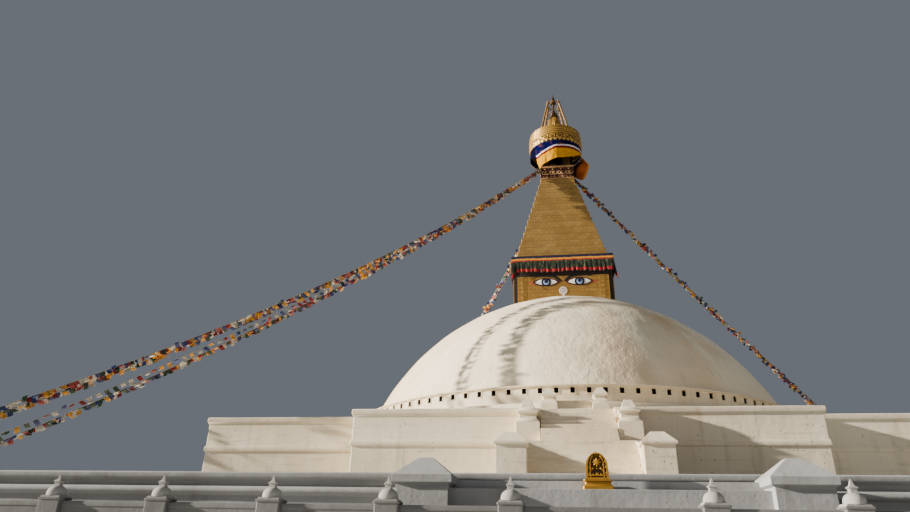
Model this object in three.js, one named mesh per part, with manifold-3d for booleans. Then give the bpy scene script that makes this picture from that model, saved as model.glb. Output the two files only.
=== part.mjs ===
// A large whitewashed stupa, made as a model at one tenth of its real size.
// Units are millimetres of the model, so one real metre is 100. +Z is up, the
// front stair faces -Y, and the origin is on the ground under the spire.

import * as THREE from 'three';
import { mergeVertices } from 'three/addons/utils/BufferGeometryUtils.js';
import Module from 'manifold-3d';

const wasm = await Module();
wasm.setup();

// Levels above the ground
const DECK_1 = 175;
const DECK_2 = 325;
const DECK_3 = 785;
const DRUM_TOP = 1036;
const HARMIKA_BASE = 1974;
const HARMIKA_TOP = 2375;
const SPIRE_BASE = 2415;
const SPIRE_TOP = 3305;
const UMBRELLA_RIM = 3675;
const UMBRELLA_TOP = 3955;
const TIP = 4384;

// Terrace plans: distances of their three edges from the axis
const PLAN_1 = { inner: 2669, corner: 3734, outer: 4100 };
const PLAN_2 = { inner: 2384, corner: 3464, outer: 3830 };
const PLAN_3 = { inner: 1134, corner: 2040, outer: 2260 };

// Round body
const NICHE_WALL = 1650;
const DRUM_FOOT = 1800;
const NICHES = 108;
const DRUM_SEGMENTS = 12;
const DOME_RADIUS = 1775;
const DOME_RISE = 1865;
const DOME_CENTRE = 219;

// Square tower
const HARMIKA_HALF = 410;
const CORNICE_HALF = 420;
const SPIRE_FOOT_HALF = 378;
const SPIRE_HEAD_HALF = 162;
const SPIRE_STEPS = 13;
const UMBRELLA_RADIUS = 255;

// Clearance between neighbours that touch
const GAP = 0.3;

const SIDES = ['front', 'right', 'back', 'left'];

const finish = (color, roughness, metalness) =>
  new THREE.MeshStandardMaterial({ color, roughness, metalness });
const WHITEWASH = finish(0xe9e4d8, 0.9, 0);
const GREY_WASH = finish(0xc9c8c2, 0.9, 0);
const GILT = finish(0xb08a45, 0.42, 0.9);
const DARK_GILT = finish(0x7a5a2c, 0.5, 0.8);
const GREEN_CLOTH = finish(0x2c4a33, 0.9, 0);
const YELLOW_CLOTH = finish(0xe0a51c, 0.85, 0);
const ORANGE_CLOTH = finish(0xb5651d, 0.85, 0);
const ROPE = finish(0x8c8474, 0.95, 0);

// Turns a geometry into a solid, with its faces pointing outwards
function solid(geometry) {
  const bare = geometry.clone();
  bare.deleteAttribute('normal');
  bare.deleteAttribute('uv');
  const merged = mergeVertices(bare, 1e-3);
  const positions = new Float32Array(merged.attributes.position.array);
  const triangles = [];
  const index = merged.index.array;
  for (let i = 0; i < index.length; i += 3) {
    const [p, q, r] = [index[i], index[i + 1], index[i + 2]];
    if (p !== q && q !== r && r !== p) triangles.push(p, q, r);
  }
  if (signedVolume(positions, triangles) < 0) triangles.reverse();
  const mesh = new wasm.Mesh({ numProp: 3, vertProperties: positions, triVerts: new Uint32Array(triangles) });
  return new wasm.Manifold(mesh);
}

function signedVolume(positions, triangles) {
  const corner = (i) => new THREE.Vector3().fromArray(positions, 3 * triangles[i]);
  let sum = 0;
  for (let i = 0; i < triangles.length; i += 3) {
    sum += corner(i).dot(corner(i + 1).cross(corner(i + 2)));
  }
  return sum;
}

const joined = (solids) => solids.reduce((whole, piece) => whole.add(piece));

function geometryOf(body) {
  const mesh = body.getMesh();
  const geometry = new THREE.BufferGeometry();
  geometry.setAttribute('position', new THREE.BufferAttribute(new Float32Array(mesh.vertProperties), 3));
  geometry.setIndex(new THREE.BufferAttribute(new Uint32Array(mesh.triVerts), 1));
  geometry.computeVertexNormals();
  return geometry;
}

// Skins a stack of closed outlines of equal length and caps both ends. flatten
// gives the two coordinates in which an end outline is triangulated.
function stacked(rings, flatten = ([x, y]) => [x, y]) {
  const count = rings[0].length;
  const faces = [];
  for (let level = 0; level + 1 < rings.length; level++) {
    for (let i = 0; i < count; i++) {
      const next = (i + 1) % count;
      const low = level * count;
      const high = low + count;
      faces.push(low + i, low + next, high + next, low + i, high + next, high + i);
    }
  }
  const outline = rings[0].map((point) => new THREE.Vector2(...flatten(point)));
  const last = (rings.length - 1) * count;
  for (const [i, j, k] of THREE.ShapeUtils.triangulateShape(outline, [])) {
    faces.push(k, j, i, last + i, last + j, last + k);
  }
  const geometry = new THREE.BufferGeometry();
  geometry.setAttribute('position', new THREE.Float32BufferAttribute(rings.flat(2), 3));
  geometry.setIndex(faces);
  return solid(geometry);
}

// Joins closed outlines in a loop, the last one to the first
function closedSweep(rings) {
  const count = rings[0].length;
  const faces = [];
  for (let level = 0; level < rings.length; level++) {
    for (let i = 0; i < count; i++) {
      const next = (i + 1) % count;
      const low = level * count;
      const high = ((level + 1) % rings.length) * count;
      faces.push(low + i, low + next, high + next, low + i, high + next, high + i);
    }
  }
  const geometry = new THREE.BufferGeometry();
  geometry.setAttribute('position', new THREE.Float32BufferAttribute(rings.flat(2), 3));
  geometry.setIndex(faces);
  return solid(geometry);
}

// A rectangular block through levels [half x, half y, height], about a centre
function tapered(levels, x = 0, y = 0) {
  const corners = [[-1, -1], [1, -1], [1, 1], [-1, 1]];
  return stacked(levels.map(([hx, hy, z]) => corners.map(([i, j]) => [x + i * hx, y + j * hy, z])));
}

// A round body about the Z axis from a profile of [radius, height]
function turned(profile, segments) {
  const points = profile.map(([radius, height]) => new THREE.Vector2(radius, height));
  return solid(new THREE.LatheGeometry(points, segments).rotateX(Math.PI / 2));
}

// An outline of [distance from the axis, height], made width thick across the front axis
function sideways(outline, width, x = 0) {
  const shape = new THREE.Shape(outline.map(([u, z]) => new THREE.Vector2(u, z)));
  const geometry = new THREE.ExtrudeGeometry(shape, { depth: width, bevelEnabled: false });
  const turn = new THREE.Matrix4().makeBasis(
    new THREE.Vector3(0, -1, 0), new THREE.Vector3(0, 0, 1), new THREE.Vector3(-1, 0, 0));
  return solid(geometry.applyMatrix4(turn).translate(x + width / 2, 0, 0));
}

const group = new THREE.Group();

function place(name, body, material, turns = 0) {
  const mesh = new THREE.Mesh(geometryOf(body), material);
  mesh.name = name;
  mesh.rotation.z = turns * Math.PI / 2;
  group.add(mesh);
}

// Terraces: three steps of solid masonry on the same stepped plan

function steppedPlan({ inner, corner, outer }, out) {
  const [a, b, c] = [inner + out, corner + out, outer + out];
  const quarter = [[c, a], [b, a], [b, b], [a, b], [a, c]];
  const turns = [([x, y]) => [x, y], ([x, y]) => [-y, x], ([x, y]) => [-x, -y], ([x, y]) => [y, -x]];
  return turns.flatMap((turn) => quarter.map(turn));
}

function terrace(plan, profile) {
  return stacked(profile.map(([out, z]) => steppedPlan(plan, out).map(([x, y]) => [x, y, z])));
}

function lowerTerrace() {
  const footing = 30;
  return terrace(PLAN_1, [[0, 0], [0, footing], [-8, footing + 8], [-8, DECK_1 - 26],
    [0, DECK_1 - 18], [0, DECK_1]]);
}

function middleTerrace() {
  const base = DECK_1;
  return terrace(PLAN_2, [[20, base], [20, base + 34], [0, base + 58], [0, base + 91],
    [10, base + 95], [14, base + 102], [10, base + 109], [0, base + 113], [0, base + 130],
    [18, base + 136], [18, DECK_2]]);
}

// The upper terrace has a slot in each side, into which the middle stair runs
const STAIR_SLOT = { half: 178.3, back: 2200 };

function upperTerrace() {
  const band = 601;
  const coping = DECK_3 - 27;
  const mass = terrace(PLAN_3, [[12, DECK_2], [12, DECK_2 + 30], [0, DECK_2 + 38], [0, band],
    [8, band + 2], [8, band + 24], [0, band + 36], [0, coping - 8], [7, coping], [9, coping + 4],
    [9, DECK_3]]);
  return joined([mass.subtract(joined(stairSlots())), ...terracePiers()]);
}

function stairSlots() {
  const reach = 100;
  const out = STAIR_SLOT.back + reach;
  const across = [[STAIR_SLOT.half, reach, DECK_2 - 1], [STAIR_SLOT.half, reach, DECK_3 + 1]];
  const along = across.map(([hx, hy, z]) => [hy, hx, z]);
  return [tapered(across, 0, -out), tapered(across, 0, out), tapered(along, -out, 0), tapered(along, out, 0)];
}

// Two capped piers stand against each side of the upper terrace
const TERRACE_PIER = { lateral: 240, proud: 46, half: 42, flare: 16, neck: 725, eave: 742, apex: 807 };

function terracePiers() {
  const { lateral, proud, half, flare, neck, eave, apex } = TERRACE_PIER;
  const out = PLAN_3.outer + proud;
  const size = { halfX: half, halfY: half, flare, foot: DECK_2, neck, eave, apex, ridge: 0.45 };
  const piers = [];
  for (const [i, j] of [[1, -1], [-1, -1], [1, 1], [-1, 1]]) {
    piers.push(cappedPier(size, i * lateral, j * out), cappedPier(size, j * out, i * lateral));
  }
  return piers;
}

// A square pier with a projecting eave under a hipped cap. Its foot may be wider
// by flare, and then it narrows in a shoulder that ends at the neck.
const SHOULDER = 28;

function cappedPier(size, x, y) {
  const { halfX, halfY, foot, eave, apex, ridge, flare = 0, neck = eave, fascia = 9 } = size;
  const lip = 9;
  const levels = [[0, eave], [lip, eave + 5], [lip, eave + 5 + fascia]];
  const base = flare > 0 ? [[flare, foot], [flare, neck - SHOULDER], [0.8 * flare, neck - 0.72 * SHOULDER],
    [0.18 * flare, neck - 0.28 * SHOULDER], [0, neck]] : [[0, foot]];
  const shaft = [...base, ...levels].map(([out, z]) => [halfX + out, halfY + out, z]);
  return tapered([...shaft, [halfX * ridge, halfY * ridge, apex]], x, y);
}

// Parapet: a low wall round the lowest deck, with a post and a small votive
// stupa every 2.7 m. Each side owns the post at its right-hand corner.

const WALL_LINE = 30;
const WALL_HALF = 15;
const WALL_TOP = 235;
const POST_HALF = 27;
const POST_TOP = 242;
const POST_PITCH = 270;
const FIRST_POST = 209;
const FRONT_POSTS = 10;
const SIDE_BAYS = 4;
const VOTIVE_HEIGHT = 53;

function parapetWall(a, b, c) {
  const w = WALL_HALF;
  const start = -b + POST_HALF + GAP;
  const outline = [[start, -b - w], [-a - w, -b - w], [-a - w, -c - w], [a + w, -c - w], [a + w, -b - w],
    [b, -b - w], [b, -b + w], [a - w, -b + w], [a - w, -c + w], [-a + w, -c + w], [-a + w, -b + w],
    [start, -b + w]];
  const shape = new THREE.Shape(outline.map(([x, y]) => new THREE.Vector2(x, y)));
  const height = WALL_TOP - DECK_1;
  const geometry = new THREE.ExtrudeGeometry(shape, { depth: height, bevelEnabled: false });
  return solid(geometry.translate(0, 0, DECK_1));
}

// A post is flush with the wall inside and stands proud of it outside
function votivePost(x, y) {
  const depth = (POST_HALF + WALL_HALF) / 2;
  const middle = y - (POST_HALF - WALL_HALF) / 2;
  const post = tapered([[POST_HALF, depth, DECK_1], [POST_HALF, depth, POST_TOP]], x, middle);
  const bell = tapered([[22, 19, POST_TOP - 1], [21, 18, POST_TOP + 14], [8, 8, POST_TOP + 25],
    [1, 1, POST_TOP + VOTIVE_HEIGHT]], x, middle);
  return post.add(bell);
}

function parapetPosts(a, b, c) {
  const posts = [];
  for (let i = 0; i < FRONT_POSTS; i++) {
    const x = FIRST_POST + i * POST_PITCH;
    posts.push([x, -c], [-x, -c]);
  }
  posts.push([a, -b], [-a, -b], [b, -b]);
  for (let bay = 1; bay < SIDE_BAYS; bay++) {
    const x = a + (b - a) * bay / SIDE_BAYS;
    posts.push([x, -b], [-x, -b]);
  }
  return posts;
}

function parapet() {
  const a = FIRST_POST + (FRONT_POSTS - 1) * POST_PITCH;
  const b = PLAN_1.corner - WALL_LINE;
  const c = PLAN_1.outer - WALL_LINE;
  const posts = parapetPosts(a, b, c).map(([x, y]) => votivePost(x, y));
  return joined([parapetWall(a, b, c), ...posts]);
}

// Stairs: each flight is one mass of masonry with the walls or piers beside it

function risers({ start, end, low, high, count }) {
  const outline = [[end, low], [start, low]];
  const rise = (high - low) / count;
  const run = (start - end) / count;
  for (let i = 0; i < count; i++) {
    outline.push([start - i * run, low + (i + 1) * rise]);
    outline.push([start - (i + 1) * run, low + (i + 1) * rise]);
  }
  return outline;
}

const LOWER_STAIR = { half: 363, pier: 63, back: 3850, tread: 3890, ledge: 3945, foot: 3990 };

function lowerStair() {
  const { half, pier, back, tread, ledge, foot } = LOWER_STAIR;
  const outline = [[back, DECK_1], [foot, DECK_1], [foot, 228], [ledge, 228], [ledge, 281], [tread, 281],
    [tread, 303], [back, 303]];
  const size = { halfX: pier, halfY: 55, foot: DECK_1, eave: 287, fascia: 17, apex: 352, ridge: 0.28 };
  const x = half + pier;
  const y = -(back + 10 + size.halfY);
  return joined([sideways(outline, 2 * x, 0), cappedPier(size, x, y), cappedPier(size, -x, y)]);
}

// The middle stair runs between the piers of the upper terrace into its slot. In
// front of the piers it is wider, between low cheek walls that end in newels.
const MIDDLE_STAIR = {
  half: 178, wide: 250, cheek: 298, back: 2200.3, front: 2364.3, foot: 2760, steps: 20, lower: 12,
};

function middleStair() {
  const { half, wide, cheek, back, front, foot, steps, lower } = MIDDLE_STAIR;
  const rise = (DECK_3 - DECK_2) / steps;
  const run = (foot - back) / steps;
  const ledge = DECK_2 + lower * rise;
  const flight = risers({ start: foot, end: back, low: DECK_2, high: DECK_3, count: steps });
  const apron = risers({ start: foot, end: foot - lower * run, low: DECK_2, high: ledge, count: lower });
  apron[0] = [front, DECK_2];
  apron.push([front, ledge]);
  const wall = [[front, DECK_2], [2745, DECK_2], [2745, 548], [2680, 551], [2600, 562], [2520, 580],
    [2440, 600], [front, 612]];
  const cheeks = [1, -1].map((side) => sideways(wall, cheek - wide, side * (wide + cheek) / 2));
  const newel = { halfX: 60, halfY: 55, foot: DECK_2, eave: 527, apex: 582, ridge: 0.45 };
  const newels = [289, -289].map((x) => cappedPier(newel, x, -2800));
  return joined([sideways(flight, 2 * half), sideways(apron, 2 * wide + 2), ...cheeks, ...newels]);
}

const UPPER_STAIR = { half: 102, pier: 139, back: 1803, foot: 1990, steps: 6, landing: 905 };

function upperStair() {
  const { half, pier, back, foot, steps, landing } = UPPER_STAIR;
  const outline = risers({ start: foot, end: back, low: DECK_3, high: landing, count: steps });
  const flight = sideways(outline, 2 * half + 2);
  const size = {
    halfX: 30, halfY: 50, flare: 15, foot: DECK_3, neck: 896, eave: 908, apex: 962, ridge: 0.45,
  };
  const y = -(back + 10 + size.halfY + size.flare);
  return joined([flight, cappedPier(size, pier, y), cappedPier(size, -pier, y)]);
}

// Gilt stele on the front stair: a stepped foot under a plate with a round head

function stele() {
  const x = -15;
  const y = -3917;
  const foot = 281;
  const shape = new THREE.Shape();
  shape.moveTo(-27, 0);
  shape.lineTo(27, 0);
  shape.lineTo(25.5, 34);
  shape.quadraticCurveTo(24, 54, 0, 63);
  shape.quadraticCurveTo(-24, 54, -25.5, 34);
  const plate = new THREE.ExtrudeGeometry(shape, { depth: 16, bevelEnabled: false, curveSegments: 5 });
  plate.rotateX(Math.PI / 2).translate(x, y + 8, foot + 22);
  const rings = [[35, 24, foot], [35, 24, foot + 9], [30, 18, foot + 12], [30, 18, foot + 22.5]];
  const base = tapered(rings, x, y);
  return base.add(solid(plate));
}

// Drum: a ring of twelve masonry segments, each with nine niches in its wall. A
// niche stands on each axis, so that the seams between segments lie beside it.

const NICHE = { width: 27, height: 34, depth: 32, centre: 1003 };
const FACETS = 3;
const DRUM_BORE = 1430;

function drumSegment(number) {
  const profile = [[DRUM_BORE, DECK_3], [DRUM_FOOT, DECK_3], [1782, 905], [1668, 925], [NICHE_WALL, 938],
    [NICHE_WALL, 1022], [1668, 1026], [1668, DRUM_TOP], [DRUM_BORE, DRUM_TOP]];
  const sweep = 2 * Math.PI / DRUM_SEGMENTS;
  const seam = GAP / 2 / DRUM_BORE;
  const start = number * sweep + seam - Math.PI / NICHES;
  const rings = [];
  for (let i = 0; i <= FACETS; i++) {
    const angle = start + (sweep - 2 * seam) * i / FACETS;
    rings.push(profile.map(([r, z]) => [r * Math.cos(angle), r * Math.sin(angle), z]));
  }
  const wall = stacked(rings, ([x, y, z]) => [Math.hypot(x, y), z]);
  return wall.subtract(joined(nichePockets(number)));
}

function nichePockets(number) {
  const perSegment = NICHES / DRUM_SEGMENTS;
  const pockets = [];
  for (let i = 0; i < perSegment; i++) {
    const angle = (number * perSegment + i) * 2 * Math.PI / NICHES;
    const box = new THREE.BoxGeometry(2 * NICHE.depth, NICHE.width, NICHE.height);
    box.translate(NICHE_WALL, 0, NICHE.centre).rotateZ(angle);
    pockets.push(solid(box));
  }
  return pockets;
}

// Dome: a solid part of an ellipsoid on a foot inside the drum. It stands a
// little to the right of the tower's axis, as the real one does.

const DOME_FOOT = 1400;
const DOME_SHIFT = 15;
const DOME_SECTORS = 40;

function dome() {
  const profile = [[0, DECK_3], [DOME_FOOT, DECK_3], [DOME_FOOT, DRUM_TOP]];
  const rings = 9;
  for (let i = 0; i <= rings; i++) {
    const fraction = 1 - (1 - i / rings) ** 1.35;
    const height = DRUM_TOP + (HARMIKA_BASE - DRUM_TOP) * fraction;
    const radius = DOME_RADIUS * Math.sqrt(1 - ((height - DOME_CENTRE) / DOME_RISE) ** 2);
    profile.push([radius, height]);
  }
  profile.push([0, HARMIKA_BASE]);
  return turned(profile, DOME_SECTORS).translate([DOME_SHIFT, 0, 0]);
}

// Harmika: the square box with a gilt panel on each face, and its cornice

function harmika() {
  const core = tapered([
    [HARMIKA_HALF, HARMIKA_HALF, HARMIKA_BASE],
    [HARMIKA_HALF, HARMIKA_HALF, HARMIKA_TOP],
  ]);
  const panelHalf = 378;
  const reach = CORNICE_HALF - 2;
  const head = HARMIKA_TOP - 20;
  return joined([core,
    tapered([[panelHalf, reach, HARMIKA_BASE], [panelHalf, reach, head]]),
    tapered([[reach, panelHalf, HARMIKA_BASE], [reach, panelHalf, head]])]);
}

function cornice() {
  const half = CORNICE_HALF;
  return tapered([[half - 12, half - 12, HARMIKA_TOP], [half, half, HARMIKA_TOP + 8],
    [half, half, SPIRE_BASE - 6], [half - 6, half - 6, SPIRE_BASE]]);
}

// Valance: one cloth on each side, hung from the cornice's edge

const VALANCE = { top: 2406, bottom: 2250, thickness: 6, flare: 6 };

function valance() {
  const { top, bottom, thickness, flare } = VALANCE;
  const inner = CORNICE_HALF + GAP;
  const outline = [[inner + flare, bottom], [inner + flare + thickness, bottom], [inner + thickness, top],
    [inner, top]];
  return sideways(outline, 2 * CORNICE_HALF - 2);
}

// Spire: thirteen square steps, narrowing to the top

function spire() {
  const levels = [];
  const rise = (SPIRE_TOP - SPIRE_BASE) / SPIRE_STEPS;
  for (let i = 0; i < SPIRE_STEPS; i++) {
    const half = THREE.MathUtils.lerp(SPIRE_FOOT_HALF, SPIRE_HEAD_HALF, i / (SPIRE_STEPS - 1));
    const z = SPIRE_BASE + i * rise;
    levels.push([half, half, z], [half - 4, half - 4, z + rise]);
  }
  return tapered(levels);
}

// Gallery: a carved open box on the spire's head, with posts up to the umbrella

const GALLERY = { half: 146, post: 8, rail: 3440, core: 62, head: 3900 };

function gallery() {
  const { half, post, rail, core, head } = GALLERY;
  const parts = [tapered([[half + 8, half + 8, SPIRE_TOP], [half + 8, half + 8, SPIRE_TOP + 14]]),
    turned([[0, SPIRE_TOP + 5], [core, SPIRE_TOP + 5], [core, head], [0, head]], 16)];
  for (const [i, j] of [[0, -1], [0, 1], [-1, 0], [1, 0]]) {
    const bar = half + post;
    const x = i * half;
    const y = j * half;
    const [hx, hy] = i === 0 ? [bar, post] : [post, bar];
    parts.push(tapered([[hx, hy, rail - 12], [hx, hy, rail + 6]], x, y));
  }
  for (let i = -2; i <= 2; i++) {
    const along = i * half / 2;
    const top = Math.abs(i) === 2 ? 3700 : rail;
    for (const [x, y] of [[along, -half], [-along, half], [half, along], [-half, -along]]) {
      if (i === 2) continue;
      parts.push(tapered([[post, post, SPIRE_TOP + 5], [post, post, top]], x, y));
    }
  }
  return joined(parts);
}

// Umbrella: a gilt bell, open below, on the posts of the gallery

const UMBRELLA_WALL = 12;

function umbrella() {
  const r = UMBRELLA_RADIUS;
  const t = UMBRELLA_WALL;
  const side = [[r - 4, UMBRELLA_RIM], [r, UMBRELLA_RIM + 45], [r - 3, 3790], [r - 12, 3850], [r - 19, 3858]];
  const slope = [[r - 55, 3880], [r - 92, 3905], [r - 135, 3930], [r - 180, 3950], [r - 193, UMBRELLA_TOP],
    [0, UMBRELLA_TOP]];
  const ceiling = GALLERY.head + GAP;
  const inner = [[0, ceiling], [110, ceiling], [r - 43 - t, 3840], [r - 4 - t, UMBRELLA_RIM]];
  return turned([...inner, ...side, ...slope], 28);
}

// The cloth round the umbrella hangs lowest at the front left and highest at the
// back. Its lower edge is given by [degrees to the right of the front, height].
const CLOTH_RADIUS = UMBRELLA_RADIUS - 4;
const CLOTH_EDGE = [[-180, 3600], [-70, 3590], [-60, 3560], [-50, 3530], [-40, 3399], [-30, 3436],
  [-20, 3452], [0, 3479], [20, 3489], [40, 3516], [70, 3588], [180, 3600]];

function clothBottom(degrees) {
  const next = CLOTH_EDGE.findIndex(([angle]) => angle >= degrees);
  if (next <= 0) return CLOTH_EDGE[0][1];
  const [[a, low], [b, high]] = [CLOTH_EDGE[next - 1], CLOTH_EDGE[next]];
  return THREE.MathUtils.lerp(low, high, (degrees - a) / (b - a));
}

function umbrellaCloth() {
  const thickness = 5;
  const top = UMBRELLA_RIM - GAP;
  const sectors = 36;
  const outline = (i) => {
    const degrees = i * 360 / sectors - 180;
    const angle = THREE.MathUtils.degToRad(degrees - 90);
    const bottom = clothBottom(degrees);
    const inside = CLOTH_RADIUS - thickness;
    const ring = [[inside, bottom], [CLOTH_RADIUS, bottom], [CLOTH_RADIUS, top], [inside, top]];
    return ring.map(([r, z]) => [r * Math.cos(angle), r * Math.sin(angle), z]);
  };
  return closedSweep(Array.from({ length: sectors }, (unused, i) => outline(i)));
}

// A loose end of the cloth, blown out on the right-hand side
const FLAP_TURNS = 100 / 90;

function clothFlap() {
  const edge = CLOTH_RADIUS + GAP;
  const under = 3545;
  const thickness = 4;
  return sideways([[edge, 3645], [322, 3550], [298, 3460], [252, 3388], [166, 3410], [178, 3515],
    [190, under], [edge, under]], thickness);
}

// Finial: a fluted mound with a stacked bell, stem and tip, held by four struts

function finialMound() {
  const lobes = 12;
  const outline = (radius, z) => Array.from({ length: 2 * lobes }, (unused, i) => {
    const angle = Math.PI * i / lobes;
    const r = radius * (i % 2 ? 0.93 : 1);
    return [r * Math.cos(angle), r * Math.sin(angle), z];
  });
  return stacked([outline(62, UMBRELLA_TOP), outline(64, 3990), outline(60, 4035), outline(50, 4070),
    outline(34, 4086)]);
}

function finial() {
  const profile = [[0, 4086], [40, 4086], [47, 4096], [44, 4112], [34, 4120], [37, 4130], [26, 4148],
    [14, 4168], [8, 4180], [7, 4248], [14, 4256], [28, 4264], [27, 4276], [16, 4290], [18, 4302],
    [12, 4330], [4, 4352], [0, TIP]];
  return turned(profile, 12);
}

const STRUT = { foot: 174, head: 70, half: 6, bottom: 3901.2, top: 4255 };

function strutFrame() {
  const { foot, head, half, bottom, top } = STRUT;
  const ring = turned([[head - 6, top - 12], [head + 6, top - 12], [head + 6, top], [head - 6, top],
    [head - 6, top - 12]], 16);
  const tieHeight = 4140;
  const reach = THREE.MathUtils.lerp(foot, head, (tieHeight - bottom) / (top - bottom));
  const parts = [ring];
  const corners = [[-half, -half], [half, -half], [half, half], [-half, half]];
  for (const [x, y] of [[1, 0], [-1, 0], [0, 1], [0, -1]]) {
    const rings = [[foot, bottom], [head, top + 10]].map(([r, z]) =>
      corners.map(([i, j]) => [x * r + i, y * r + j, z]));
    parts.push(stacked(rings));
    const mid = (reach + 46) / 2;
    const bar = [Math.abs(x) ? (reach - 46) / 2 + 3 : 2, Math.abs(y) ? (reach - 46) / 2 + 3 : 2];
    parts.push(tapered([[...bar, tieHeight - 2], [...bar, tieHeight + 2]], x * mid, y * mid));
  }
  const tie = turned([[42, tieHeight - 3], [50, tieHeight - 3], [50, tieHeight + 3], [42, tieHeight + 3],
    [42, tieHeight - 3]], 16);
  return joined([...parts, tie]).rotate([0, 0, 45]);
}

// Flag ropes: each hangs from the gallery to the middle terrace. from and to
// are its ends, and sag is its depth below the straight line at mid length.

const ROPE_RADIUS = 1.3;
const ROPE_STEPS = 12;
const ROPES = {
  rope_front_left_1: { from: [-155, -155, 3428], to: [-3460, -3055, 326.5], sag: 220 },
  rope_front_left_2: { from: [-148, -155.5, 3422], to: [-3455, -3150, 326.5], sag: 228 },
  rope_front_left_3: { from: [-155.5, -148, 3418], to: [-3455, -2705, 326.5], sag: 160 },
  rope_front_left_4: { from: [-142, -155.5, 3412], to: [-3440, -2620, 326.5], sag: 163 },
  rope_right_1: { from: [155.3, 4, 3406], to: [3790, 2128, 326.4], sag: 60 },
  rope_right_2: { from: [155.3, -4, 3400], to: [3790, 1960, 326.4], sag: 90 },
  rope_back_left_1: { from: [-73, 155.6, 3376], to: [-3406, 2400, 326.5], sag: 680 },
  rope_back_left_2: { from: [-69, 155.6, 3384], to: [-3200, 2800, 326.5], sag: 560 },
};

function hangingLine({ from, to, sag }) {
  const start = new THREE.Vector3(...from);
  const end = new THREE.Vector3(...to);
  const points = [];
  for (let i = 0; i <= ROPE_STEPS; i++) {
    const along = i / ROPE_STEPS;
    const point = start.clone().lerp(end, along);
    point.z -= 4 * sag * along * (1 - along);
    points.push(point);
  }
  return new THREE.CatmullRomCurve3(points);
}

function rope(route) {
  const section = new THREE.Shape(Array.from({ length: 8 }, (unused, i) => new THREE.Vector2(
    ROPE_RADIUS * Math.cos(i * Math.PI / 4), ROPE_RADIUS * Math.sin(i * Math.PI / 4))));
  return solid(new THREE.ExtrudeGeometry(section, { steps: ROPE_STEPS, extrudePath: hangingLine(route) }));
}

place('lower_terrace', lowerTerrace(), GREY_WASH);
place('middle_terrace', middleTerrace(), GREY_WASH);
place('upper_terrace', upperTerrace(), WHITEWASH);
for (const [turns, side] of SIDES.entries()) {
  place(`parapet_${side}`, parapet(), GREY_WASH, turns);
  place(`lower_stair_${side}`, lowerStair(), GREY_WASH, turns);
  place(`middle_stair_${side}`, middleStair(), WHITEWASH, turns);
  place(`upper_stair_${side}`, upperStair(), WHITEWASH, turns);
  place(`valance_${side}`, valance(), GREEN_CLOTH, turns);
}
place('gilt_stele', stele(), GILT);
for (let number = 0; number < DRUM_SEGMENTS; number++) {
  place(`drum_segment_${String(number + 1).padStart(2, '0')}`, drumSegment(number), WHITEWASH);
}
place('dome', dome(), WHITEWASH);
place('harmika', harmika(), GILT);
place('cornice', cornice(), DARK_GILT);
place('spire', spire(), GILT);
place('gallery', gallery(), DARK_GILT);
place('umbrella', umbrella(), GILT);
place('umbrella_cloth', umbrellaCloth(), YELLOW_CLOTH);
place('cloth_flap', clothFlap(), ORANGE_CLOTH, FLAP_TURNS);
place('finial_mound', finialMound(), GILT);
place('finial', finial(), DARK_GILT);
place('strut_frame', strutFrame(), GILT);
for (const [name, route] of Object.entries(ROPES)) place(name, rope(route), ROPE);

export default group;
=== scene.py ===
"""A large whitewashed stupa at a tenth of its real size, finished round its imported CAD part."""

import math

import bpy
import numpy as np
from mathutils import Matrix


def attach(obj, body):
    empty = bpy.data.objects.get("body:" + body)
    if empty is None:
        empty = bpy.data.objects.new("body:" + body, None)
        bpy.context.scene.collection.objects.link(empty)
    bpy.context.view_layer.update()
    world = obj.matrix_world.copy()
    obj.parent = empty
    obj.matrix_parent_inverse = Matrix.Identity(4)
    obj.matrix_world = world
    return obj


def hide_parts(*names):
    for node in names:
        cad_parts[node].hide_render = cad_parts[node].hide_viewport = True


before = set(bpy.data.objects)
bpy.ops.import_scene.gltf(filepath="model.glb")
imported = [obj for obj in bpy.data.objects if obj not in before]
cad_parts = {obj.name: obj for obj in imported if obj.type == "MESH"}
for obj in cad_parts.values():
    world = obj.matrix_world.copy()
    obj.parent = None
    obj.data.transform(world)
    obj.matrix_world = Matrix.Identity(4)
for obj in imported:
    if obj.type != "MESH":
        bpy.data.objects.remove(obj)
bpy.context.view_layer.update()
MM = 0.001

# Camera
# A visitor's eye in front of the front stair, a little to the left of its middle. It
# looks up to the left, so that the long flag ropes show as well as the spire.
EYE = (-0.1072, -5.583, 0.16)
HEADING, PITCH, ROLL = (math.radians(degrees) for degrees in (8.84, 23.58, 1.20))
LENS, FILM_WIDTH, FARTHEST = 26.05, 36, 200


def added(name, data):
    """A new object that shows the data, in the scene."""
    made = bpy.data.objects.new(name, data)
    bpy.context.scene.collection.objects.link(made)
    return made


reach = math.cos(PITCH)
ahead = np.array([-math.sin(HEADING) * reach, math.cos(HEADING) * reach, math.sin(PITCH)])
level = np.array([math.cos(HEADING), math.sin(HEADING), 0.0])
upward = np.cross(level, ahead)
right = math.cos(ROLL) * level + math.sin(ROLL) * upward
above = math.cos(ROLL) * upward - math.sin(ROLL) * level
camera_turn = Matrix(np.stack([right, above, -ahead], 1).tolist())
camera_data = bpy.data.cameras.new("camera")
camera_data.sensor_width = FILM_WIDTH
camera_data.lens = LENS
camera_data.clip_end = FARTHEST
camera = added("camera", camera_data)
camera.matrix_world = Matrix.Translation(EYE) @ camera_turn.to_4x4()
bpy.context.scene.camera = camera

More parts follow.
